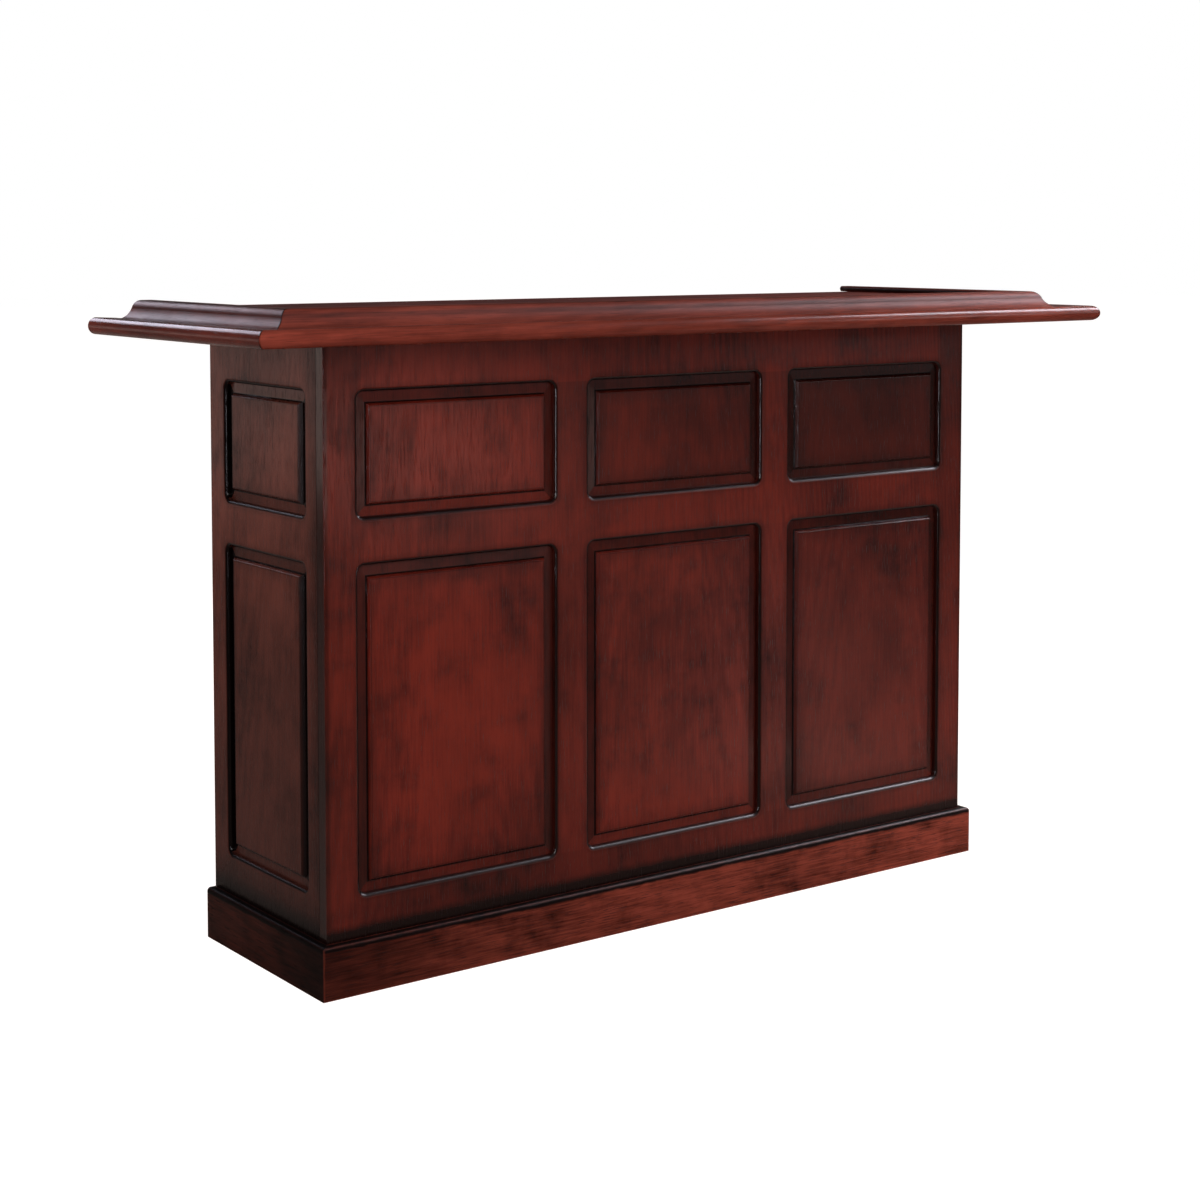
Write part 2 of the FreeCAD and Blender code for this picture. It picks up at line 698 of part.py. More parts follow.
front_x = (f"{wall_x} + front_gap", f"{bay_right} - front_gap")
front_z = (f"{drawer_low} + front_gap", f"{body_top} - front_gap")
both_sides(box("drawer_face", front_x, (front_back_y, rear_y), front_z), "drawer_%s_front")
centre_x = f"({wall_x} + {bay_right}) / 2"
both_sides(knob("drawer_knob", centre_x, rear_y, f"({front_z[0]} + {front_z[1]}) / 2"), "drawer_%s_knob")

box_low = f"({drawer_low} + drawer_lift)"
box_z = (box_low, f"({box_low} + drawer_side_height)")
box_y = (f"({inside_y} + drawer_back_gap)", front_back_y)
side_outer = (f"({wall_x} + drawer_side_gap)", f"({bay_right} - drawer_side_gap)")
side_inner = (f"({side_outer[0]} + drawer_side_thickness)", f"({side_outer[1]} - drawer_side_thickness)")
runner_z = (f"({box_low} + runner_level)", f"({box_low} + runner_level + runner_height)")
bottom_z = (f"({box_low} + drawer_bottom_lift)",
            f"({box_low} + drawer_bottom_lift + drawer_bottom_thickness)")
past_box_y = (f"{box_y[0]} - overrun", f"{box_y[1]} + overrun")
runner_slot_z = (f"{runner_z[0]} - runner_fit", f"{runner_z[1]} + runner_fit")
bottom_slot_z = (f"{bottom_z[0]} - tongue_fit", f"{bottom_z[1]} + tongue_fit")

sides = box("drawer_outer_block", (side_outer[0], side_outer[1]), box_y, box_z)
hollow = box("drawer_hollow", side_inner, past_box_y, (f"{box_z[0]} - overrun", f"{box_z[1]} + overrun"))
runner_slots = [
    box("runner_slot_outer", (f"{side_outer[0]} - overrun", f"{side_outer[0]} + runner_entry + runner_fit"),
        past_box_y, runner_slot_z),
    box("runner_slot_inner", (f"{side_outer[1]} - runner_entry - runner_fit", f"{side_outer[1]} + overrun"),
        past_box_y, runner_slot_z),
]
bottom_slot = box("drawer_bottom_slot",
                  (f"{side_inner[0]} - drawer_bottom_entry", f"{side_inner[1]} + drawer_bottom_entry"),
                  past_box_y, bottom_slot_z)
drawer_sides = cut("drawer_sides", sides, fuse("drawer_side_cuts", [hollow, bottom_slot] + runner_slots))
drawer_back = box("drawer_back", side_inner, (box_y[0], f"{box_y[0]} + drawer_side_thickness"),
                  (bottom_z[1], box_z[1]))
both_sides(group("drawer_boards", [drawer_sides, drawer_back]), "drawer_%s_box")
both_sides(box("drawer_base",
               (f"{side_inner[0]} - drawer_bottom_entry + tongue_fit",
                f"{side_inner[1]} + drawer_bottom_entry - tongue_fit"), box_y, bottom_z), "drawer_%s_bottom")
runner_y = (inside_y, f"{front_back_y} - runner_fit")
runners = [
    box("runner_outer", (wall_x, f"{side_outer[0]} + runner_entry"), runner_y, runner_z),
    box("runner_inner", (f"{side_outer[1]} - runner_entry", bay_right), runner_y, runner_z),
]
node(both_halves("runner_set", runners), "drawer_runners")


# Doors: framed raised panels on butt hinges, held shut by catches under the dividers

door_x = (f"({wall_x} + hinge_gap)", f"({bay_right} - front_gap)")
door_z = (f"({floor_top} + front_gap)", f"({drawer_low} - board_thickness - front_gap)")
door_width = f"({door_x[1]} - {door_x[0]})"
door_height = f"({door_z[1]} - {door_z[0]})"
door_columns = [("door_frame_width", f"({door_width} - door_frame_width)")]
door_rows = [("door_frame_width", f"({door_height} - door_frame_width)")]
stiles, rails, muntins, panels = panel_frame("door", door_width, door_height, "door_thickness",
                                             "door_groove_inset", door_columns, door_rows)
door_panel = panels[0][0]
for piece in stiles + rails + [door_panel]:
    place(piece, door_x[1], rear_y, door_z[0], angle=180)
both_sides(group("door_frame", stiles + rails), "door_%s_frame")
both_sides(door_panel, "door_%s_panel")
both_sides(knob("door_knob", f"{door_x[1]} - door_frame_width / 2", rear_y,
                f"{door_z[1]} - {door_height} / 3"), "door_%s_knob")

pivot_x = f"({wall_x} + hinge_gap / 2)"
pivot_y = f"({rear_y} + barrel_radius + barrel_gap)"
hinge_lows = (f"({door_z[0]} + hinge_inset)", f"({door_z[1]} - hinge_inset - hinge_height)")
knuckle_height = "((hinge_height - 2 * knuckle_gap) / 3)"
knuckle_lows = [f"({number} * ({knuckle_height} + knuckle_gap))" for number in range(3)]
leaf_y = (f"{rear_y} - leaf_width", rear_y)
tab_y = (rear_y, f"{pivot_y} - hinge_pin_radius - (barrel_radius - hinge_pin_radius) / 2")


def hinge_leaf(name, low, x, numbers):
    # a plate with rings round the pin, joined to it by short tabs
    plate = box(name + "_plate", x, leaf_y, (low, f"{low} + hinge_height"))
    rings = []
    for number in numbers:
        ring_low = f"{low} + {knuckle_lows[number]}"
        label = "%s_ring_%d" % (name, number)
        barrel = cylinder(label + "_barrel", "barrel_radius", knuckle_height, pivot_x, pivot_y, ring_low)
        tab = box(label + "_tab", x, tab_y, (ring_low, f"{ring_low} + {knuckle_height}"))
        rings += [barrel, tab]
    bore = cylinder(name + "_bore", "hinge_pin_radius + hinge_pin_fit", "hinge_height + 2 * overrun",
                    pivot_x, pivot_y, f"{low} - overrun")
    return cut(name, fuse(name + "_solid", [plate] + rings), bore)


def hinge_pin(name, low):
    rod = cylinder(name + "_rod", "hinge_pin_radius", "hinge_height", pivot_x, pivot_y, low)
    head = cylinder(name + "_head", "barrel_radius", "hinge_pin_head", pivot_x, pivot_y,
                    f"{low} + hinge_height")
    return fuse(name, [rod, head])


wall_leaf_x = (wall_x, f"{wall_x} + leaf_thickness")
door_leaf_x = (f"{door_x[0]} - leaf_thickness", door_x[0])
ends = list(zip(("low", "high"), hinge_lows))
wall_leaves = [hinge_leaf("wall_leaf_" + end, low, wall_leaf_x, (0, 2)) for end, low in ends]
door_leaves = [hinge_leaf("door_leaf_" + end, low, door_leaf_x, (1,)) for end, low in ends]
node(both_halves("wall_leaf_set", wall_leaves), "hinge_frame_leaves")
both_sides(group("door_leaf_set", door_leaves), "door_%s_hinge_leaves")
node(both_halves("pin_set", [hinge_pin("hinge_pin_" + end, low) for end, low in ends]), "hinge_pins")

divider_low = f"({drawer_low} - board_thickness)"
catch_right = f"({door_x[1]} - catch_inset)"
catch_rear = f"({front_back_y} - strike_thickness - catch_gap)"
catch = box("catch", (f"{catch_right} - catch_width", catch_right),
            (f"{catch_rear} - catch_depth", catch_rear), (f"{divider_low} - catch_height", divider_low))
node(both_halves("catches", [catch]), "door_catches")
strike_x = f"({catch_right} - catch_width / 2)"
strike_top = f"({door_z[1]} - front_gap)"
both_sides(box("strike", (f"{strike_x} - strike_width / 2", f"{strike_x} + strike_width / 2"),
               (f"{front_back_y} - strike_thickness", front_back_y),
               (f"{strike_top} - strike_height", strike_top)), "door_%s_strike_plate")


doc.recompute()
for item in doc.Objects:
    if "Invalid" in item.State or "Error" in item.State:
        raise RuntimeError("%s did not build: %s" % (item.Name, item.State))
for piece in nodes:
    if piece.Shape.isNull() or not piece.Shape.isValid() or not piece.Shape.Solids:
        raise RuntimeError("%s has no valid solid" % piece.Label)

os.makedirs("parts", exist_ok=True)
for piece in nodes:
    piece.Shape.exportStep("parts/%s.step" % piece.Label)
    print("%-26s %2d solids %12.1f mm3" % (piece.Label, len(piece.Shape.Solids), piece.Shape.Volume))
print(len(nodes), "nodes")
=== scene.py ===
import math

import bpy
import numpy as np
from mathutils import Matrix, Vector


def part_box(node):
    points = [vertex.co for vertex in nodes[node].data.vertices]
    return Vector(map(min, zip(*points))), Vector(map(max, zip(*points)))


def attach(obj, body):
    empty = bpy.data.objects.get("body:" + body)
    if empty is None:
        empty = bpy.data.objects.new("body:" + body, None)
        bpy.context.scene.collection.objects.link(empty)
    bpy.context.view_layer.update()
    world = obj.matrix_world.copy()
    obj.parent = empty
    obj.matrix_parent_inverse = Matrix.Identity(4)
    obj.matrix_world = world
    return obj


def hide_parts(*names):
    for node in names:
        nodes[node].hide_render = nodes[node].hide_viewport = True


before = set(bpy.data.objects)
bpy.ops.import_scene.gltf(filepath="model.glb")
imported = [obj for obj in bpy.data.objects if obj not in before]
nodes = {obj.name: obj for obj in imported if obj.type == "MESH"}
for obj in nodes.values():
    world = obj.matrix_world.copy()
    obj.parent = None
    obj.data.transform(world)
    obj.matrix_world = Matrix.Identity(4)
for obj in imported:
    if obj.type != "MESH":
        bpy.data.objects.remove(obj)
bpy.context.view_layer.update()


# node tree helpers: a number or a socket may stand for any input
def plug(tree, socket, value):
    if isinstance(value, bpy.types.NodeSocket):
        tree.links.new(value, socket)
    else:
        socket.default_value = value


def maths(tree, operation, first, second=0.0, third=0.0, clamp=False):
    node = tree.nodes.new("ShaderNodeMath")
    node.operation = operation
    node.use_clamp = clamp
    for socket, value in zip(node.inputs, (first, second, third)):
        plug(tree, socket, value)
    return node.outputs[0]


def most(tree, first, *others):
    for other in others:
        first = maths(tree, "MAXIMUM", first, other)
    return first


def times(tree, first, *others):
    for other in others:
        first = maths(tree, "MULTIPLY", first, other)
    return first


def apart(tree, first, second):
    return maths(tree, "ABSOLUTE", maths(tree, "SUBTRACT", first, second))


# from the first value to the second as the share goes from 0 to 1
def between(tree, share, first, second):
    return maths(tree, "MULTIPLY_ADD", share, maths(tree, "SUBTRACT", second, first), first)


def vectorMaths(tree, operation, first, second):
    node = tree.nodes.new("ShaderNodeVectorMath")
    node.operation = operation
    plug(tree, node.inputs[0], first)
    plug(tree, node.inputs[1], second)
    return node.outputs[0]


def split(tree, vector):
    node = tree.nodes.new("ShaderNodeSeparateXYZ")
    plug(tree, node.inputs[0], vector)
    return node.outputs


def joined(tree, x, y, z):
    node = tree.nodes.new("ShaderNodeCombineXYZ")
    for socket, value in zip(node.inputs, (x, y, z)):
        plug(tree, socket, value)
    return node.outputs[0]


def ease(tree, value, low, high, outLow=0.0, outHigh=1.0):
    node = tree.nodes.new("ShaderNodeMapRange")
    node.interpolation_type = "SMOOTHSTEP"
    for socket, part in zip(node.inputs, (value, low, high, outLow, outHigh)):
        plug(tree, socket, part)
    return node.outputs[0]


def noise(tree, vector, scale=1.0, detail=2.0, roughness=0.5):
    node = tree.nodes.new("ShaderNodeTexNoise")
    plug(tree, node.inputs["Vector"], vector)
    plug(tree, node.inputs["Scale"], scale)
    plug(tree, node.inputs["Detail"], detail)
    plug(tree, node.inputs["Roughness"], roughness)
    return node.outputs[0]


# a slow noise about zero that makes a border uneven
def wander(tree, vector, scale, width):
    return maths(tree, "MULTIPLY_ADD", noise(tree, vector, scale, 3.0), width, -width / 2)


def blendColour(tree, factor, first, second):
    node = tree.nodes.new("ShaderNodeMix")
    node.data_type = "RGBA"
    plug(tree, node.inputs[0], factor)
    plug(tree, node.inputs[6], first)
    plug(tree, node.inputs[7], second)
    return node.outputs[2]


def shaderGroup(name, inputs, outputs):
    tree = bpy.data.node_groups.new(name, "ShaderNodeTree")
    for label, kind, start in inputs:
        socket = tree.interface.new_socket(label, in_out="INPUT", socket_type="NodeSocket" + kind)
        if start is not None:
            socket.default_value = start
    for label, kind in outputs:
        tree.interface.new_socket(label, in_out="OUTPUT", socket_type="NodeSocket" + kind)
    return tree, tree.nodes.new("NodeGroupInput").outputs, tree.nodes.new("NodeGroupOutput").inputs


def placed(tree, group, **values):
    node = tree.nodes.new("ShaderNodeGroup")
    node.node_tree = group
    for label, value in values.items():
        plug(tree, node.inputs[label], value)
    return node.outputs


def newMaterial(name):
    material = bpy.data.materials.new(name)
    material.use_nodes = True
    tree = material.node_tree
    return material, tree, tree.nodes["Principled BSDF"]


def objectPlace(tree):
    return tree.nodes.new("ShaderNodeTexCoord").outputs["Object"]


def bumped(tree, shader, height, distance):
    bump = tree.nodes.new("ShaderNodeBump")
    bump.inputs["Distance"].default_value = distance
    plug(tree, bump.inputs["Height"], height)
    plug(tree, shader.inputs["Normal"], bump.outputs[0])


# the grain's noises in waves per metre across, across and along the board, and where each begins and is full;
# the figure's rings climb along the board, lean with its depth and are bent by the drift
grainLook = dict(
    drift=(7.0, 7.0, 1.6), fibre=(330.0, 330.0, 13.0), pores=(760.0, 760.0, 34.0), cloud=(5.0, 5.0, 3.6),
    spots=(15.0, 15.0, 17.0), poreRange=(0.56, 0.70), cloudRange=(0.34, 0.68), spotRange=(0.44, 0.78),
    climb=0.55, lean=1.7, bend=0.55, rings=78.0, fibreRise=0.5, poreRise=-0.8)
grainParts = ("Figure", "Fibre", "Pores", "Cloud", "Spots")


# grain runs along Z of the vector: pores and fibres are noise drawn out along Z,
# the figure is the contour lines of across squared plus height, bent by a slow noise,
# clouds are slow changes of tone and spots are small dark patches where the stain took more
def makeGrain():
    look = grainLook
    tree, given, out = shaderGroup(
        "sawnGrain",
        [("Vector", "Vector", None), ("Coarse", "Float", 1.0), ("Arch", "Float", 9.0)],
        [(label, "Float") for label in grainParts + ("Height",)],
    )
    vector = given["Vector"]
    scaled = vectorMaths(tree, "MULTIPLY", vector, joined(tree, given["Coarse"], given["Coarse"], 1.0))

    def drawnOut(source, part, detail, roughness=0.5):
        return noise(tree, vectorMaths(tree, "MULTIPLY", source, look[part]), 1.0, detail, roughness)

    x, y, z = split(tree, vector)
    arch = times(tree, x, x, given["Arch"])
    rise = maths(tree, "MULTIPLY_ADD", z, look["climb"], maths(tree, "MULTIPLY_ADD", y, look["lean"], arch))
    ring = maths(tree, "MULTIPLY_ADD", drawnOut(vector, "drift", 3.0), look["bend"], rise)
    wave = maths(tree, "SINE", times(tree, ring, look["rings"]))
    fibre = drawnOut(scaled, "fibre", 4.0, 0.65)
    pores = ease(tree, drawnOut(scaled, "pores", 2.0), *look["poreRange"])
    found = dict(
        Figure=maths(tree, "MULTIPLY_ADD", wave, 0.5, 0.5),
        Fibre=fibre,
        Pores=pores,
        Cloud=ease(tree, drawnOut(vector, "cloud", 4.0, 0.55), *look["cloudRange"]),
        Spots=ease(tree, drawnOut(vector, "spots", 4.0, 0.6), *look["spotRange"]),
        Height=maths(tree, "MULTIPLY_ADD", pores, look["poreRise"], times(tree, fibre, look["fibreRise"])),
    )
    for label, value in found.items():
        plug(tree, out[label], value)
    return tree


# where glaze and painted shade lie in a recess, in metres from its rim, less than zero is inside: the groove,
# step and quirk lines of painted shade are place, width and depth; the others are ranges over which a share
# comes or goes; hung is painted shade that hangs in from the rim
recessLook = dict(
    corner=0.019, core=0.0004, groove=(-0.0046, 0.0058, 0.99), quirk=(-0.0298, 0.0018, 0.60),
    stepPlace=-0.0242, stepWidth=0.0034, stepDepth=0.97, bevelRim=(-0.004, 0.0), bevelStep=(-0.0250, -0.0225),
    hungRim=(-0.002, 0.010), hungReach=(-0.056, -0.028), hungDepth=0.30, hungWander=(60.0, 0.006),
    rimOut=(-0.001, 0.001), rimIn=(-0.010, -0.007))
# sockets of the recess group and their names in a sunk grid
gridSockets = {
    "Middle": "middle", "Side Centre": "sideCentre", "Side Half": "sideHalf", "Low Centre": "lowCentre",
    "Low Half": "lowHalf", "High Centre": "highCentre", "High Half": "highHalf", "Side Glazing And Shade": "sideGlazeAndShade",
    "Top Glazing And Shade": "topGlazeAndShade", "Foot Glazing And Shade": "footGlazeAndShade", "Step Width": "stepWidth",
}


# signed distance to a grid of sunk panels with round corners, mirrored about Across zero;
# glaze and painted shade lie dark in the groove line and the step line, and thinner on the bevel between
# them, where the painted shade is deeper on some sides of a recess than on others
def makeRecess():
    look = recessLook
    tree, given, out = shaderGroup(
        "recessGlazeAndShade",
        [("Across", "Float", 0.0), ("Up", "Float", 0.0), ("Vector", "Vector", None), ("Sleek", "Float", 0.6)]
        + [(label, "Float", 0.0) for label in gridSockets],
        [("Glaze And Shade", "Float"), ("Dull", "Float")],
    )

    def outside(value, part):
        return maths(tree, "SUBTRACT", apart(tree, value, given[part + " Centre"]), given[part + " Half"])

    across = maths(tree, "ABSOLUTE", given["Across"])
    middle = maths(tree, "SUBTRACT", across, given["Middle"])
    columns = maths(tree, "MINIMUM", outside(across, "Side"), middle)
    low = outside(given["Up"], "Low")
    high = outside(given["Up"], "High")
    rows = maths(tree, "MINIMUM", low, high)
    square = most(tree, columns, rows)
    corner = look["corner"]
    beyondX = most(tree, maths(tree, "ADD", columns, corner), 0.0)
    beyondZ = most(tree, maths(tree, "ADD", rows, corner), 0.0)
    squares = maths(tree, "ADD", times(tree, beyondX, beyondX), times(tree, beyondZ, beyondZ))
    within = maths(tree, "MINIMUM", maths(tree, "ADD", square, corner), 0.0)
    depth = maths(tree, "SUBTRACT", maths(tree, "ADD", maths(tree, "SQRT", squares), within), corner)
    loose = maths(tree, "ADD", square, wander(tree, given["Vector"], *look["hungWander"]))

    def line(distance, place, wide, deep):
        return times(tree, ease(tree, apart(tree, distance, place), look["core"], wide, 1.0, 0.0), deep)

    # which side of its recess a point belongs to, and how much glaze and painted shade that side takes
    upper = maths(tree, "LESS_THAN", high, low)
    rowCentre = between(tree, upper, given["Low Centre"], given["High Centre"])
    above = maths(tree, "GREATER_THAN", given["Up"], rowCentre)
    level = maths(tree, "GREATER_THAN", rows, columns)
    foot = times(tree, level, maths(tree, "SUBTRACT", 1.0, above))
    ends = between(tree, above, given["Foot Glazing And Shade"], given["Top Glazing And Shade"])
    taken = between(tree, level, given["Side Glazing And Shade"], ends)
    stepWide = between(tree, level, given["Step Width"], look["stepWidth"])

    bevel = ease(tree, depth, *look["bevelRim"], 1.0, 0.0)
    bevel = times(tree, bevel, ease(tree, square, *look["bevelStep"]))
    hung = times(tree, ease(tree, depth, *look["hungRim"], 1.0, 0.0), ease(tree, loose, *look["hungReach"]))
    glazeAndShade = most(
        tree, times(tree, bevel, taken), times(tree, hung, look["hungDepth"]), line(depth, *look["groove"]),
        line(square, look["stepPlace"], stepWide, look["stepDepth"]), line(square, *look["quirk"]),
    )
    plug(tree, out["Glaze And Shade"], glazeAndShade)
    rim = times(tree, ease(tree, depth, *look["rimOut"], 1.0, 0.0), ease(tree, depth, *look["rimIn"]))
    sleek = times(tree, bevel, maths(tree, "SUBTRACT", 1.0, foot), given["Sleek"])
    plug(tree, out["Dull"], maths(tree, "SUBTRACT", times(tree, rim, foot), sleek))
    return tree


# lines of glaze and painted shade in the creases of the rail's moulding as way in from the nose, width and
# depth;
# the mitre's dark joint as core, width and depth
railLook = dict(
    halfWidth=0.8775, halfDepth=0.295, core=0.0006, mitre=(0.0004, 0.0032, 0.9), dull=(0.028, 0.044),
    lines=((0.0475, 0.0035, 0.9), (0.0770, 0.0030, 0.35), (0.0890, 0.0040, 0.42), (0.1165, 0.0030, 0.9)))


# glaze and painted shade in the crease lines of the bar rail: how far in from the nose is the lesser of the
# two ways in, so the lines turn at the mitre, where a fine dark joint shows
def makeRailLinesAndShade():
    look = railLook
    tree, given, out = shaderGroup(
        "railLinesAndShade", [("Vector", "Vector", None)], [("Glaze And Shade", "Float"), ("Dull", "Float")],
    )
    x, y, z = split(tree, given["Vector"])
    inSide = maths(tree, "SUBTRACT", look["halfWidth"], maths(tree, "ABSOLUTE", x))
    inFront = maths(tree, "ADD", y, look["halfDepth"])
    reach = maths(tree, "MINIMUM", inSide, inFront)
    core, wide, deep = look["mitre"]
    glazeAndShade = times(tree, ease(tree, apart(tree, inSide, inFront), core, wide, 1.0, 0.0), deep)
    for place, wide, deep in look["lines"]:
        mark = ease(tree, apart(tree, reach, place), look["core"], wide, 1.0, 0.0)
        glazeAndShade = most(tree, glazeAndShade, times(tree, mark, deep))
    plug(tree, out["Glaze And Shade"], glazeAndShade)
    plug(tree, out["Dull"], ease(tree, reach, *look["dull"]))
    return tree


# the fine line as core, width and depth; the band of painted shade beside it as start and depth
jointLook = dict(fine=(0.0006, 0.0030, 0.92), bandStart=-0.01, bandDepth=0.72, wander=(24.0, 0.030))


# a glued joint at one place across: a fine dark line, with a band of painted shade beside it that fades away
# beyond it
def makeJointLineAndShade():
    look = jointLook
    tree, given, out = shaderGroup(
        "jointLineAndShade",
        [(label, "Float", 0.0) for label in ("Across", "Place", "Reach")] + [("Vector", "Vector", None)],
        [("Glaze And Shade", "Float")],
    )
    past = maths(tree, "SUBTRACT", given["Across"], given["Place"])
    fine = ease(tree, maths(tree, "ABSOLUTE", past), *look["fine"], 0.0)
    uneven = maths(tree, "ADD", past, wander(tree, given["Vector"], *look["wander"]))
    band = ease(tree, uneven, look["bandStart"], given["Reach"], look["bandDepth"], 0.0)
    plug(tree, out["Glaze And Shade"], most(tree, fine, band))
    return tree


# height of the plinth's top, and how dark the painted shadow is there
footShadowLook = dict(level=0.084, deep=0.98, wander=(30.0, 0.006))


# painted shadow where the body stands on the plinth: dark at the line, fading above it and below
def makeFootShadow():
    look = footShadowLook
    tree, given, out = shaderGroup(
        "footShadow",
        [("Vector", "Vector", None), ("Solid", "Float", 0.007), ("Fade", "Float", 0.014)],
        [("Glaze And Shade", "Float")],
    )
    away = apart(tree, split(tree, given["Vector"])[2], look["level"])
    uneven = maths(tree, "ADD", away, wander(tree, given["Vector"], *look["wander"]))
    plug(tree, out["Glaze And Shade"], ease(tree, uneven, given["Solid"], given["Fade"], look["deep"], 0.0))
    return tree


# how far in from an edge the rubbing goes, and how uneven it is by noise scale, share of the noise and least
rubLook = dict(reach=0.004, scale=55.0, uneven=1.6, least=0.2)


# distance to the nearest edge of a box is the middle one of the three distances to its faces
def makeRub():
    look = rubLook
    tree, given, out = shaderGroup(
        "edgeRub",
        [("Vector", "Vector", None), ("Low", "Vector", None), ("High", "Vector", None)],
        [("Rub", "Float")],
    )
    fromLow = vectorMaths(tree, "SUBTRACT", given["Vector"], given["Low"])
    fromHigh = vectorMaths(tree, "SUBTRACT", given["High"], given["Vector"])
    x, y, z = split(tree, vectorMaths(tree, "MINIMUM", fromLow, fromHigh))
    small = maths(tree, "MINIMUM", x, y)
    large = most(tree, x, y)
    distance = most(tree, small, maths(tree, "MINIMUM", large, z))
    patches = noise(tree, given["Vector"], look["scale"], 3.0)
    ragged = maths(tree, "MULTIPLY_ADD", patches, look["uneven"], look["least"])
    plug(tree, out["Rub"], ease(tree, distance, 0.0, times(tree, look["reach"], ragged), 1.0, 0.0))
    return tree


# how much of the light stain a rubbed edge shows, and what each part of the grain adds to the roughness
coatLook = dict(rubbed=0.35, fibreRough=0.10, poreRough=0.08, spotRough=0.05, dullRough=0.26)


# stain over grain: dark in pores, clouds and spots, darker still under glaze and painted shade, lighter on a
# rubbed edge
def makeStain():
    look = coatLook
    colours = [(label, "Color", None) for label in ("Light", "Dark", "Glazing And Shade Colour")]
    shares = [(label, "Float", 0.0) for label in grainParts + ("Glaze And Shade", "Rub", "Dull")]
    depths = [(label + " Depth", "Float", 0.5) for label in grainParts]
    tree, given, out = shaderGroup(
        "stainCoat",
        colours + shares + depths + [("Gloss", "Float", 0.34)],
        [("Colour", "Color"), ("Roughness", "Float")],
    )
    shade = times(tree, given["Figure"], given["Figure Depth"])
    fibre = times(tree, maths(tree, "SUBTRACT", given["Fibre"], 0.5), given["Fibre Depth"])
    shade = maths(tree, "ADD", shade, fibre)
    shade = maths(tree, "MULTIPLY_ADD", given["Spots"], given["Spots Depth"], shade)
    shade = maths(tree, "MULTIPLY_ADD", given["Cloud"], given["Cloud Depth"], shade, clamp=True)
    colour = blendColour(tree, shade, given["Light"], given["Dark"])
    dotted = maths(tree, "MULTIPLY", given["Pores"], given["Pores Depth"], clamp=True)
    colour = blendColour(tree, dotted, colour, given["Dark"])
    colour = blendColour(tree, given["Glaze And Shade"], colour, given["Glazing And Shade Colour"])
    colour = blendColour(tree, times(tree, given["Rub"], look["rubbed"]), colour, given["Light"])
    plug(tree, out["Colour"], colour)
    rough = maths(tree, "SUBTRACT", given["Gloss"], look["fibreRough"] / 2)
    rough = maths(tree, "MULTIPLY_ADD", given["Fibre"], look["fibreRough"], rough)
    rough = maths(tree, "MULTIPLY_ADD", given["Pores"], look["poreRough"], rough)
    rough = maths(tree, "MULTIPLY_ADD", given["Spots"], look["spotRough"], rough)
    rough = maths(tree, "MULTIPLY_ADD", given["Dull"], look["dullRough"], rough, clamp=True)
    plug(tree, out["Roughness"], rough)
    return tree


sawnGrain = makeGrain()
recessGlazeAndShade = makeRecess()
edgeRub = makeRub()
railLinesAndShade = makeRailLinesAndShade()
jointLineAndShade = makeJointLineAndShade()
footShadow = makeFootShadow()
stainCoat = makeStain()
print("shader groups:", len(bpy.data.node_groups))


def colourOf(red, green, blue, tone=1.0):
    def linear(part):
        part = part * tone / 255.0
        return part / 12.92 if part <= 0.04045 else ((part + 0.055) / 1.055) ** 2.4
    return (linear(red), linear(green), linear(blue), 1.0)


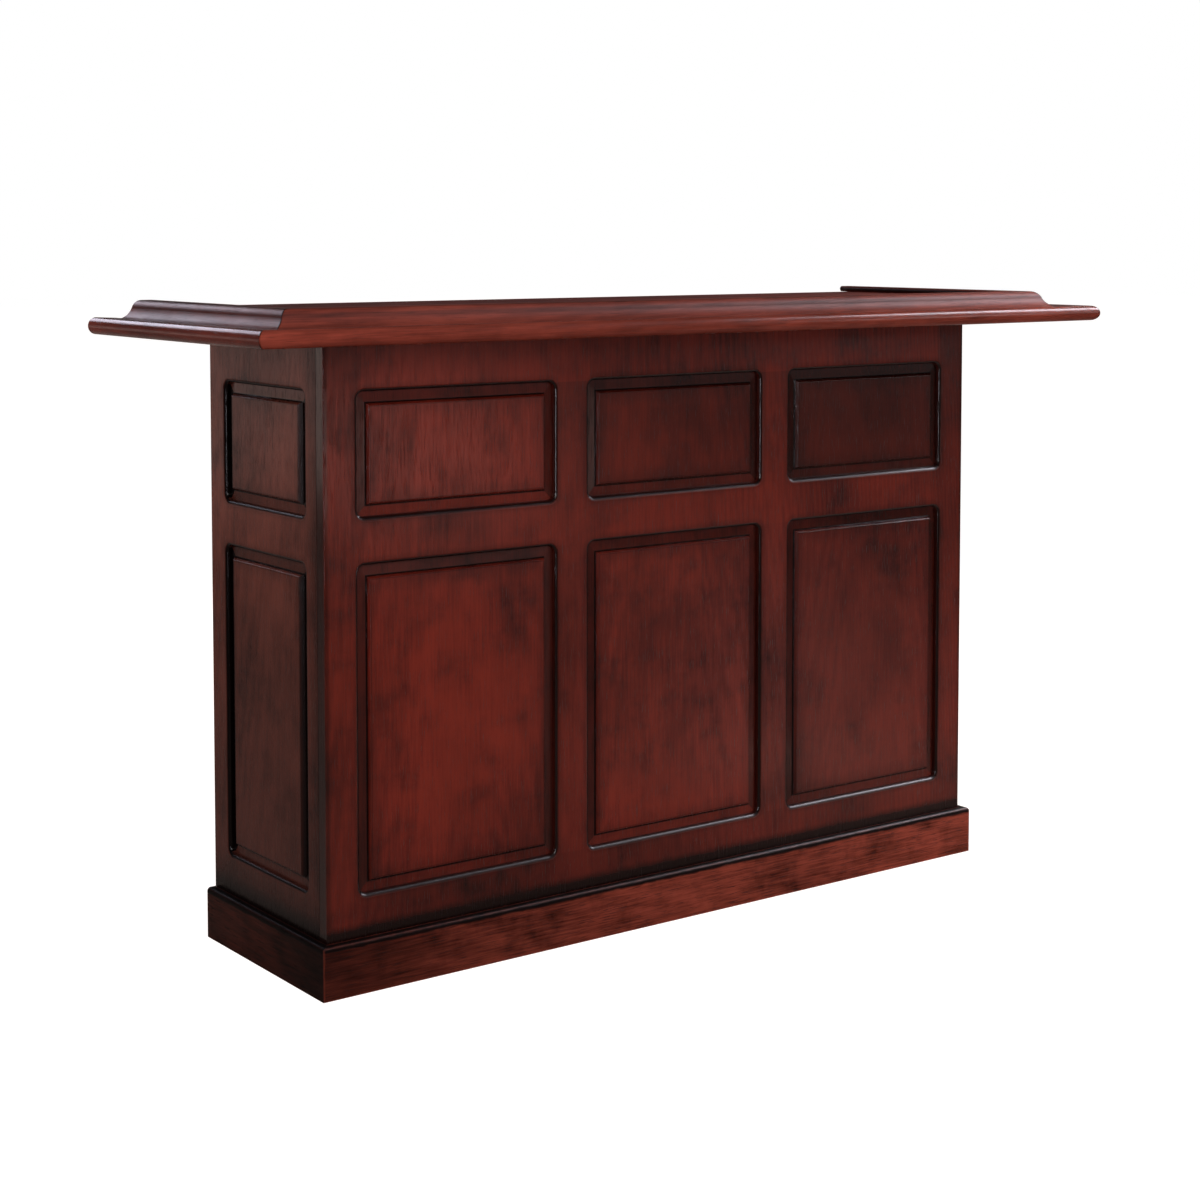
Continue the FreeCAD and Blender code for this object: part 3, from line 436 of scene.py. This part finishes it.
# what each finish looks like: light and dark stain, colour of the glaze and painted shade, depth of each part
# of the grain, gloss and bump; jointAndShade is a dark joint with a band of painted shade beside it, as axis,
# place and reach, foot is the painted shadow at the plinth's top as solid and fade, dullTop is where the top
# edge grows duller and by how much
# the plinth's top edge takes the painted shadow under the body, and grows duller
plinthEdge = dict(foot=(0.007, 0.011), dullTop=(0.073, 0.079, 0.0, 0.5))
finishes = {
    "frontStain": dict(
        light=(115, 37, 26), dark=(38, 11, 9), glazeAndShade=(14, 3, 2), figure=0.14, fibre=0.95, pores=0.45,
        cloud=0.48, spots=0.36, gloss=0.21, specular=0.20, coarse=1.0, bump=0.00010),
    # painted shade: the ends take a darker, greyer copy of the front's stain, as they stand in shade
    "endShadedStain": dict(
        light=(100, 51, 42), dark=(34, 12, 9), glazeAndShade=(4, 2, 2), figure=0.14, fibre=0.95, pores=0.45,
        cloud=0.48, spots=0.36, gloss=0.22, specular=0.09, coarse=1.0, bump=0.00010,
        jointAndShade=("Y", -0.107, 0.055)),
    "railStain": dict(
        light=(127, 56, 44), dark=(52, 18, 13), glazeAndShade=(9, 4, 3), figure=0.16, fibre=1.1, pores=0.45,
        cloud=0.32, spots=0.18, gloss=0.22, specular=0.06, coarse=1.0, bump=0.00005, dull=1.0),
    # painted shade: the side rails take a darker copy of the front rail's stain
    "railEndShadedStain": dict(
        light=(92, 38, 30), dark=(32, 12, 10), glazeAndShade=(7, 3, 3), figure=0.16, fibre=1.1, pores=0.45,
        cloud=0.32, spots=0.18, gloss=0.22, specular=0.09, coarse=1.0, bump=0.00005, dull=0.6),
    "plinthStain": dict(
        light=(134, 60, 46), dark=(30, 10, 7), glazeAndShade=(5, 2, 2), figure=0.22, fibre=1.5, pores=0.75,
        cloud=0.46, spots=0.40, gloss=0.23, specular=0.07, coarse=0.85, bump=0.00014,
        jointAndShade=("X", -0.699, 0.42), **plinthEdge),
    # painted shade: the plinth's sides take a much darker copy of the plinth's stain
    "plinthEndShadedStain": dict(
        light=(60, 23, 16), dark=(13, 4, 3), glazeAndShade=(4, 2, 2), figure=0.26, fibre=1.5, pores=0.65,
        cloud=0.36, spots=0.30, gloss=0.32, specular=0.03, coarse=0.6, bump=0.00014,
        jointAndShade=("Y", -0.144, 0.25), **plinthEdge),
    "topStain": dict(
        light=(100, 37, 27), dark=(44, 15, 12), glazeAndShade=(14, 6, 5), figure=0.20, fibre=0.9, pores=0.40,
        cloud=0.34, spots=0.20, gloss=0.55, specular=0.06, coarse=1.0, bump=0.00006),
    "insideStain": dict(
        light=(116, 64, 46), dark=(66, 34, 25), glazeAndShade=(38, 20, 15), figure=0.20, fibre=0.9, pores=0.45,
        cloud=0.30, spots=0.15, gloss=0.42, specular=0.25, coarse=0.9, bump=0.00012),
}

# share of the finish's colour, board by board: partly stain that took more or less, partly painted shade that
# darkens the upper panels towards the right under the overhang and the bottom rail
boardToneAndShade = {
    "front_panel_upper_middle": 0.82, "front_panel_upper_right": 0.64, "front_panel_lower_right": 0.84,
    "front_stile_left": 0.86, "front_stile_right": 0.86, "front_muntins": 0.87, "front_rail_top": 1.02,
    "front_rail_middle": 0.90, "front_rail_bottom": 0.82,
}

# how much smoother a panel's bevel is than its field, less than zero is rougher; and how dull a lower rim is
usualSleek = 0.6
boardSleek = {"front_panel_lower_left": -0.6}
rimDull = 0.6

# the sunk panels of each side: columns across and rows up, in metres; a row or column far below zero is not
# there; shown is where the outer side ends and the inner one begins; the glaze-and-shade shares are those of
# the bevels, glaze with painted shade that is deeper on some sides than on others; foot is the painted shadow
# above the plinth, as in a finish; shade is painted shade, darker towards the floor on the low part of the
# side, as heights and depth; butt is the joint between a door's rails and stiles
none = -9.0
sunkGrids = {
    "front": dict(
        middle=0.1922, sideCentre=0.43885, sideHalf=0.19215, shift=0.0, lowCentre=0.40825, lowHalf=0.26375,
        highCentre=0.83675, highHalf=0.10375, shown=(-0.1165, -0.1140, 1.0, 0.0), sideGlazeAndShade=0.70,
        topGlazeAndShade=0.62, footGlazeAndShade=0.30, stepWidth=0.0034, foot=(0.011, 0.028)),
    "end": dict(
        middle=none, sideCentre=0.0, sideHalf=0.13975, shift=0.06525, lowCentre=0.40825, lowHalf=0.26375,
        highCentre=0.83675, highHalf=0.10375, shown=(0.6690, 0.6715, 0.0, 1.0), sideGlazeAndShade=0.99, topGlazeAndShade=0.55,
        footGlazeAndShade=0.40, stepWidth=0.0130, foot=(0.011, 0.085),
        # painted shade: the end is darker towards the floor
        shade=((0.10, 0.80, 0.42), (0.09, 0.24, 0.80))),
    "door": dict(
        middle=none, sideCentre=0.445, sideHalf=0.1596, shift=0.0, lowCentre=0.4685, lowHalf=0.3095,
        highCentre=0.0, highHalf=none, shown=(0.2380, 0.2400, 0.0, 1.0), sideGlazeAndShade=0.5, topGlazeAndShade=0.5,
        footGlazeAndShade=0.4, stepWidth=0.0034, butt=(0.0003, 0.0016, 0.75, 0.0)),
}
# painted shade: the outer edge of the front is darkened behind its rounded corner: where the edge begins
# across, how the painted shade deepens behind the face, and where the side face begins
edgeShadeLook = dict(across=(0.674, 0.681), behind=(-0.1290, -0.1225, 0.50, 0.88), sleek=0.40, sideFace=0.6825)
turnOf = {"Z": (0.0, 0.0, 0.0), "X": (0.0, math.pi / 2, 0.0), "Y": (math.pi / 2, 0.0, 0.0)}


def grainVector(tree, place, centre, along, shift):
    moved = tree.nodes.new("ShaderNodeMapping")
    moved.inputs["Location"].default_value = tuple(-part for part in centre)
    plug(tree, moved.inputs["Vector"], place)
    turned = tree.nodes.new("ShaderNodeMapping")
    turned.inputs["Rotation"].default_value = turnOf[along]
    turned.inputs["Location"].default_value = shift
    plug(tree, turned.inputs["Vector"], moved.outputs[0])
    return turned.outputs[0]


def woodMaterial(name, finish, along, centre, shift, box, side, arch):
    look = finishes[finish]
    grid = sunkGrids.get(side, {})
    # some boards are darker as painted shade
    tone = boardToneAndShade.get(name, 1.0)
    material, tree, shader = newMaterial(name + "_wood")
    place = objectPlace(tree)
    x, y, z = split(tree, place)
    fromMiddle = maths(tree, "ABSOLUTE", x)
    vector = grainVector(tree, place, centre, along, shift)
    glazeAndShade, rub, dull = 0.0, 0.0, 0.0
    if side:
        across = maths(tree, "SUBTRACT", y if side == "end" else x, grid["shift"])
        sleek = boardSleek.get(name, usualSleek)
        sizes = {label: grid[key] for label, key in gridSockets.items()}
        # glaze and painted shade in the grooves, steps and bevels of the sunk panels
        sunk = placed(tree, recessGlazeAndShade, Across=across, Up=z, Vector=place, Sleek=sleek, **sizes)
        outer = ease(tree, fromMiddle if side == "end" else y, *grid["shown"])
        if side == "front":
            outer = most(tree, outer, maths(tree, "GREATER_THAN", fromMiddle, edgeShadeLook["sideFace"]))
        glazeAndShade = times(tree, sunk["Glaze And Shade"], outer)
        dull = times(tree, sunk["Dull"], rimDull)
    else:
        rub = placed(tree, edgeRub, Vector=place, Low=box[0], High=box[1])["Rub"]
    # painted shade on the front's outer edge, behind its rounded corner
    if side == "front":
        edge = ease(tree, fromMiddle, *edgeShadeLook["across"])
        glazeAndShade = most(tree, glazeAndShade, times(tree, edge, ease(tree, y, *edgeShadeLook["behind"])))
        dull = maths(tree, "MULTIPLY_ADD", edge, -edgeShadeLook["sleek"], dull)
    # glaze and painted shade in the creases of the rail's moulding, and its dark mitre joint
    if finish.startswith("rail"):
        lined = placed(tree, railLinesAndShade, Vector=place)
        glazeAndShade = lined["Glaze And Shade"]
        dull = times(tree, lined["Dull"], look["dull"])
    # a dark joint line with a band of painted shade beside it
    if "jointAndShade" in look:
        axis, corner, reach = look["jointAndShade"]
        across = x if axis == "X" else y
        seamAndShade = placed(tree, jointLineAndShade, Across=across, Place=corner, Reach=reach, Vector=place)
        glazeAndShade = most(tree, glazeAndShade, seamAndShade["Glaze And Shade"])
    # painted shadow where the body stands on the plinth
    foot = grid.get("foot") or look.get("foot")
    if foot:
        solid, fade = foot
        glazeAndShade = most(tree, glazeAndShade, placed(tree, footShadow, Vector=place, Solid=solid, Fade=fade)["Glaze And Shade"])
    # painted shade: darker towards the floor on the low part of the side
    for low, high, deep in grid.get("shade", ()):
        glazeAndShade = most(tree, glazeAndShade, ease(tree, z, low, high, deep, 0.0))
    if "dullTop" in look:
        dull = ease(tree, z, *look["dullTop"])
    if name.startswith("door") and name.endswith("frame"):
        # between the stiles the grain of a door's rails runs across
        beyond = maths(tree, "SUBTRACT", apart(tree, fromMiddle, grid["sideCentre"]), grid["sideHalf"])
        crossways = grainVector(tree, place, centre, "X", shift)
        vector = blendColour(tree, maths(tree, "LESS_THAN", beyond, 0.0), vector, crossways)
        glazeAndShade = most(tree, glazeAndShade, ease(tree, maths(tree, "ABSOLUTE", beyond), *grid["butt"]))
    light, dark = colourOf(*look["light"], tone), colourOf(*look["dark"], tone)
    if side in ("front", "end"):
        plain = finishes["insideStain"]
        glazeAndShade = times(tree, glazeAndShade, outer)
        light = blendColour(tree, outer, colourOf(*plain["light"]), light)
        dark = blendColour(tree, outer, colourOf(*plain["dark"]), dark)
    grain = placed(tree, sawnGrain, Vector=vector, Coarse=look["coarse"], Arch=arch)
    values = {"Light": light, "Dark": dark, "Glazing And Shade Colour": colourOf(*look["glazeAndShade"]), "Glaze And Shade": glazeAndShade,
              "Rub": rub, "Dull": dull, "Gloss": look["gloss"]}
    for part in grainParts:
        values[part] = grain[part]
        values[part + " Depth"] = look[part.lower()]
    coat = placed(tree, stainCoat, **values)
    plug(tree, shader.inputs["Base Color"], coat["Colour"])
    plug(tree, shader.inputs["Roughness"], coat["Roughness"])
    shader.inputs["Specular IOR Level"].default_value = look["specular"]
    bumped(tree, shader, grain["Height"], look["bump"])
    return material


# tarnish comes in over a range of its noise; the brush marks run along X, or round the axis of a turned piece
metalLook = dict(tarnish=(0.38, 0.68), brushed=(90.0, 2600.0, 2600.0), rings=5200.0, tarnishRough=0.16,
                 brushRough=0.14, bump=0.00003)


def metalMaterial(name, light, dark, rough, scale, turned=None):
    look = metalLook
    material, tree, shader = newMaterial(name)
    place = objectPlace(tree)
    tarnish = ease(tree, noise(tree, place, scale, 5.0, 0.6), *look["tarnish"])
    if turned:
        lathe = tree.nodes.new("ShaderNodeAttribute")
        lathe.attribute_name = turned
        brushed = noise(tree, joined(tree, lathe.outputs["Fac"], 0.0, 0.0), look["rings"], 3.0)
    else:
        brushed = noise(tree, vectorMaths(tree, "MULTIPLY", place, look["brushed"]), 1.0, 3.0)
    plug(tree, shader.inputs["Base Color"], blendColour(tree, tarnish, colourOf(*light), colourOf(*dark)))
    shader.inputs["Metallic"].default_value = 1.0
    rough = maths(tree, "MULTIPLY_ADD", brushed, look["brushRough"], rough)
    plug(tree, shader.inputs["Roughness"], maths(tree, "MULTIPLY_ADD", tarnish, look["tarnishRough"], rough))
    bumped(tree, shader, brushed, look["bump"])
    return material


def plasticMaterial(name, light, dark, rough, patchRough, patchScale, speckleScale, bump):
    material, tree, shader = newMaterial(name)
    place = objectPlace(tree)
    patch = noise(tree, place, patchScale, 3.0)
    plug(tree, shader.inputs["Base Color"], blendColour(tree, patch, colourOf(*light), colourOf(*dark)))
    plug(tree, shader.inputs["Roughness"], maths(tree, "MULTIPLY_ADD", patch, patchRough, rough))
    bumped(tree, shader, noise(tree, place, speckleScale, 2.0), bump)
    return material


# node name, finish, way of the grain, sunk grid if any
woodNodes = [
    ("bar_rail_front", "railStain", "X", None), ("bar_rail_left", "railEndShadedStain", "Y", None),
    ("bar_rail_right", "railEndShadedStain", "Y", None), ("bar_top", "topStain", "X", None),
    ("sub_top", "insideStain", "X", None), ("top_cleats", "insideStain", "X", None),
    ("front_stile_left", "frontStain", "Z", "front"), ("front_stile_right", "frontStain", "Z", "front"),
    ("front_rail_bottom", "frontStain", "Z", "front"), ("front_rail_middle", "frontStain", "Z", "front"),
    ("front_rail_top", "frontStain", "Z", "front"), ("front_muntins", "frontStain", "Z", "front"),
    ("plinth_front", "plinthStain", "X", None), ("plinth_left", "plinthEndShadedStain", "Y", None),
    ("plinth_right", "plinthEndShadedStain", "Y", None), ("kick_board", "insideStain", "X", None),
    ("floor_board", "insideStain", "X", None), ("drawer_dividers", "insideStain", "X", None),
    ("cabinet_shelves", "insideStain", "X", None), ("middle_shelves", "insideStain", "X", None),
    ("partition_left", "insideStain", "Z", None), ("partition_right", "insideStain", "Z", None),
    ("glass_rack", "insideStain", "Y", None), ("drawer_runners", "insideStain", "Y", None),
]
for level in ("lower", "upper"):
    for side in ("left", "middle", "right"):
        woodNodes.append((f"front_panel_{level}_{side}", "frontStain", "Z", "front"))
for side in ("left", "right"):
    woodNodes += [
        (f"{side}_end_stiles", "endShadedStain", "Z", "end"), (f"{side}_end_rails", "endShadedStain", "Z", "end"),
        (f"{side}_end_panels", "endShadedStain", "Z", "end"), (f"drawer_{side}_front", "frontStain", "X", None),
        (f"drawer_{side}_box", "insideStain", "Y", None), (f"drawer_{side}_bottom", "insideStain", "X", None),
        (f"door_{side}_frame", "frontStain", "Z", "door"), (f"door_{side}_panel", "frontStain", "Z", "door"),
    ]

# where in the plank a board was cut: drawn at random within reach, less far across for a panel, whose arch
# stays near its middle; the frames of the front and the ends are veneered in one sheet
cutLook = dict(seed=201, reach=0.4, panelAcross=0.1, panelArch=9.0, boardArch=5.0,
               sheetCentre=(0.0, 0.0, 0.0), sheetShift=(0.31, 0.17, -0.23))
# boards with a place of their own
boardShift = {
    "front_panel_upper_left": (0.0098, -0.2278, -0.0728),
    "front_panel_upper_middle": (0.0315, -0.2103, 0.1022),
    "front_panel_lower_left": (-0.0130, 0.2148, -0.1456),
    "left_end_panels": (-0.0380, -0.1023, -0.3757),
    "plinth_front": (-0.1185, 0.1673, 0.3039),
    "plinth_left": (-0.1423, -0.1377, -0.1998),
}
rng = np.random.default_rng(cutLook["seed"])
for name, finish, along, side in woodNodes:
    low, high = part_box(name)
    centre = tuple((a + b) / 2 for a, b in zip(low, high))
    shift = tuple(rng.uniform(-cutLook["reach"], cutLook["reach"], 3))
    arch = cutLook["boardArch"]
    if "panel" in name:
        arch = cutLook["panelArch"]
        shift = (shift[0] * cutLook["panelAcross"], shift[1], shift[2])
    elif side in ("front", "end"):
        centre, shift = cutLook["sheetCentre"], cutLook["sheetShift"]
    shift = boardShift.get(name, shift)
    made = woodMaterial(name, finish, along, centre, shift, (tuple(low), tuple(high)), side, arch)
    for slot in nodes[name].material_slots:
        slot.material = made

# fittings: light and dark colour, roughness and the scale of their patches
brassLook = dict(light=(196, 150, 84), dark=(128, 88, 44), rough=0.25, scale=60.0)
steelLook = dict(light=(170, 170, 172), dark=(120, 120, 124), rough=0.31, scale=80.0)
plasticLook = dict(light=(48, 34, 30), dark=(34, 24, 22), rough=0.38, patchRough=0.2, patchScale=90.0,
                   speckleScale=1400.0, bump=0.00005)
fittingOf = {
    "brass": metalMaterial("agedBrass", **brassLook),
    "steel": metalMaterial("zincSteel", **steelLook),
    "catch_plastic": plasticMaterial("catchPlastic", **plasticLook),
}
for item in nodes.values():
    for slot in item.material_slots:
        if slot.material and slot.material.name in fittingOf:
            slot.material = fittingOf[slot.material.name]
print("materials:", len(bpy.data.materials))

# turned brass knobs: out from the face along the stem, then radius, in millimetres
knobLook = dict(turns=72, steps=110, soften=3, profile=[
    (0.0, 0.0), (0.0, 8.7), (0.9, 9.0), (1.9, 8.8), (2.5, 7.6), (3.1, 7.2), (3.7, 6.2), (5.2, 5.3),
    (8.2, 5.0), (10.6, 5.5), (12.2, 7.2), (13.0, 9.4), (13.4, 11.2), (14.2, 12.0), (15.0, 13.0), (16.8, 13.9),
    (18.6, 13.7), (20.4, 12.7), (21.9, 10.9), (22.4, 9.7), (22.9, 9.3), (23.9, 7.4), (24.9, 4.6), (25.5, 2.0),
    (25.7, 0.0)])
knobBrass = dict(light=(214, 166, 92), dark=(140, 96, 46), rough=0.17, scale=70.0)


# a profile carried once round the Y axis: each ring is the profile's radius times cosine and sine of the
# turn, the two ends of the profile are single points on the axis
def makeKnob(name, node, body):
    low, high = (np.array(corner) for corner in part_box(node))
    centre = (low + high) / 2
    drawn = np.array(knobLook["profile"]) / 1000.0
    length = np.concatenate([[0.0], np.cumsum(np.linalg.norm(np.diff(drawn, axis=0), axis=1))])
    steps, turns = knobLook["steps"], knobLook["turns"]
    along = np.linspace(0.0, length[-1], steps)
    curve = np.stack([np.interp(along, length, drawn[:, 0]), np.interp(along, length, drawn[:, 1])], axis=-1)
    for _ in range(knobLook["soften"]):
        curve[1:-1] = (curve[:-2] + 2 * curve[1:-1] + curve[2:]) / 4
    angle = np.linspace(0.0, 2 * np.pi, turns, endpoint=False)
    out, radius = curve[1:-1, 0][:, None], curve[1:-1, 1][:, None]
    rings = np.stack([centre[0] + radius * np.cos(angle), low[1] + out + 0.0 * angle,
                      centre[2] + radius * np.sin(angle)], axis=-1).reshape(-1, 3)
    ends = np.array([[centre[0], low[1] + curve[end, 0], centre[2]] for end in (0, -1)])
    points = np.concatenate([rings, ends])
    count = steps - 2
    ring, turn = np.meshgrid(np.arange(count - 1), np.arange(turns), indexing="ij")
    nextTurn = (turn + 1) % turns
    quads = np.stack([ring * turns + turn, (ring + 1) * turns + turn, (ring + 1) * turns + nextTurn,
                      ring * turns + nextTurn], axis=-1).reshape(-1, 4)
    turn = np.arange(turns)
    first = np.stack([np.full(turns, count * turns), turn, (turn + 1) % turns], axis=-1)
    last = (count - 1) * turns
    final = np.stack([np.full(turns, count * turns + 1), last + (turn + 1) % turns, last + turn], axis=-1)
    mesh = bpy.data.meshes.new(name)
    mesh.from_pydata(points.tolist(), [], quads.tolist() + first.tolist() + final.tolist())
    mesh.polygons.foreach_set("use_smooth", np.ones(len(mesh.polygons), dtype=bool))
    row = np.concatenate([np.repeat(along[1:-1], turns), [0.0, along[-1]]])
    mesh.attributes.new("turned", "FLOAT", "POINT").data.foreach_set("value", row.astype(np.float32))
    mesh.materials.append(turnedBrass)
    knob = bpy.data.objects.new(name, mesh)
    bpy.context.collection.objects.link(knob)
    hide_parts(node)
    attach(knob, body)


turnedBrass = metalMaterial("turnedBrass", turned="turned", **knobBrass)
for kind in ("drawer", "door"):
    for side in ("left", "right"):
        makeKnob(f"{kind}_{side}_turned_knob", f"{kind}_{side}_knob", f"{kind}_{side}")
print("knobs: 4 turned")

# a pale floor that goes on for a long way, and a white room
stageLook = dict(reach=30.0, cells=8, pale=(0.36, 0.28, 0.25, 1.0), rough=0.9, glow=0.93, sheen=0.06,
                 ambient=0.30, sky=(0.0, 0.12), horizon=0.45, ceiling=0.08, white=(1.0, 1.0, 1.0, 1.0))


# the rays that come from the camera, and those from a shiny surface
def raysOf(tree):
    path = tree.nodes.new("ShaderNodeLightPath").outputs
    return path["Is Camera Ray"], most(tree, path["Is Glossy Ray"], path["Is Transmission Ray"])


# white to the camera and dim in the lacquer
def makeFloor():
    reach, cells = stageLook["reach"], stageLook["cells"]
    u, v = np.meshgrid(np.linspace(-1, 1, cells + 1), np.linspace(-1, 1, cells + 1), indexing="xy")
    points = np.stack([u * reach, v * reach, np.zeros_like(u)], axis=-1).reshape(-1, 3)
    row, column = np.meshgrid(np.arange(cells), np.arange(cells), indexing="ij")
    first = (row * (cells + 1) + column).ravel()
    faces = np.stack([first, first + 1, first + cells + 2, first + cells + 1], axis=-1)
    mesh = bpy.data.meshes.new("floor")
    mesh.from_pydata(points.tolist(), [], faces.tolist())
    floor = bpy.data.objects.new("floor", mesh)
    bpy.context.collection.objects.link(floor)
    material, tree, shader = newMaterial("paleFloor")
    shader.inputs["Base Color"].default_value = stageLook["pale"]
    shader.inputs["Roughness"].default_value = stageLook["rough"]
    shader.inputs["Specular IOR Level"].default_value = 0.0
    shader.inputs["Emission Color"].default_value = stageLook["white"]
    camera, shiny = raysOf(tree)
    seen = most(tree, camera, times(tree, shiny, stageLook["sheen"]))
    plug(tree, shader.inputs["Emission Strength"], times(tree, seen, stageLook["glow"]))
    mesh.materials.append(material)


# white to the camera; in the lacquer a white backdrop at the horizon under a dim ceiling
def makeRoom():
    world = bpy.data.worlds.new("room")
    bpy.context.scene.world = world
    world.use_nodes = True
    tree = world.node_tree
    sky = tree.nodes["Background"]
    sky.inputs["Color"].default_value = stageLook["white"]
    height = split(tree, tree.nodes.new("ShaderNodeTexCoord").outputs["Generated"])[2]
    backdrop = ease(tree, height, *stageLook["sky"], stageLook["horizon"], stageLook["ceiling"])
    camera, shiny = raysOf(tree)
    lit = between(tree, shiny, stageLook["ambient"], backdrop)
    plug(tree, sky.inputs["Strength"], most(tree, lit, camera))


# soft boxes: place, what they face, width and height, power and tint; one with body off is a card or strip
# that shows only in the lacquer, one with gloss off lights the wood and does not show in the lacquer
lamps = {
    "keyBox": dict(place=(-1.6, -1.6, 1.4), aim=(-0.45, 0.0, 0.8), size=(0.8, 0.7), watts=25,
                   tint=(1.0, 0.96, 0.93)),
    "lowBox": dict(place=(1.0, -1.0, 0.2), aim=(0.5, 0.0, 0.15), size=(0.5, 0.3), watts=5,
                   tint=(1.0, 0.96, 0.93), gloss=False),
    "leftBox": dict(place=(-1.45, 0.6, 1.0), aim=(-0.7, 0.1, 0.9), size=(0.5, 0.3), watts=3.2, gloss=False),
    "rightBox": dict(place=(3.2, 0.7, 1.7), aim=(0.7, 0.1, 0.6), size=(1.0, 1.0), watts=34),
    "railBox": dict(place=(1.1, -0.75, 1.85), aim=(0.5, -0.22, 1.06), size=(0.9, 0.25), watts=11,
                    gloss=False),
    "backBox": dict(place=(0.8, 3.3, 1.7), aim=(0.0, 0.2, 0.5), size=(1.6, 1.2), watts=48, gloss=False),
    "leftStrip": dict(place=(-3.0, -2.2, 0.9), aim=(0.0, 0.0, 0.5), size=(0.20, 1.5), watts=40,
                      tint=(0.94, 0.90, 1.0), body=False),
    "topStrip": dict(place=(2.75, -0.9, 2.4), aim=(0.3, -0.2, 0.4), size=(0.7, 1.6), watts=205,
                     tint=(0.94, 0.90, 1.0), body=False),
    "sideCard": dict(place=(2.5, -2.2, 1.45), aim=(0.4, -0.1, 0.6), size=(0.7, 0.35), watts=17, body=False),
    "frontCard": dict(place=(1.7, -3.9, 0.38), aim=(-0.4, 0.0, 0.8), size=(0.9, 0.45), watts=3.4,
                      tint=(1.0, 0.8, 0.74), body=False),
    "backCard": dict(place=(-0.9, 3.8, 2.8), aim=(-0.8, 0.0, 1.0), size=(1.6, 0.7), watts=34,
                     tint=(0.86, 0.84, 1.0), body=False),
    "endCard": dict(place=(-3.2, 4.8, 0.6), aim=(-0.7, 0.1, 0.9), size=(1.7, 0.9), watts=5,
                    tint=(1.0, 0.76, 0.68), body=False),
}


def makeLamp(name, place, aim, size, watts, tint=(1.0, 1.0, 1.0), body=True, gloss=True):
    data = bpy.data.lights.new(name, "AREA")
    data.shape = "RECTANGLE"
    data.size, data.size_y = size
    data.energy = watts
    data.color = tint
    lamp = bpy.data.objects.new(name, data)
    bpy.context.collection.objects.link(lamp)
    lamp.location = place
    lamp.visible_camera = False
    lamp.visible_diffuse = body
    lamp.visible_glossy = gloss
    toward = np.array(aim) - np.array(place)
    flat = math.hypot(toward[0], toward[1])
    lamp.rotation_euler = (math.atan2(flat, -toward[2]), 0.0, math.atan2(toward[1], toward[0]) - math.pi / 2)


# the photograph's view: place in metres, turn from +Y towards +X, tilt, lens and sensor, and rise of the back
viewFrom = dict(place=(-2.30735, -3.04227, 1.17892), turn=36.354, tilt=-3.5, lens=65.749, sensor=36.0,
                rise=-0.1954, far=200.0)


def makeCamera():
    data = bpy.data.cameras.new("viewer")
    data.sensor_width = viewFrom["sensor"]
    data.lens = viewFrom["lens"]
    data.shift_y = viewFrom["rise"]
    data.clip_end = viewFrom["far"]
    camera = bpy.data.objects.new("viewer", data)
    bpy.context.collection.objects.link(camera)
    camera.location = viewFrom["place"]
    camera.rotation_euler = (math.radians(90.0 + viewFrom["tilt"]), 0.0, math.radians(-viewFrom["turn"]))
    bpy.context.scene.camera = camera


makeFloor()
makeRoom()
for name, setting in lamps.items():
    makeLamp(name, **setting)
makeCamera()
bpy.context.scene.view_settings.view_transform = "Standard"
print("stage, room,", len(lamps), "lamps and camera set")
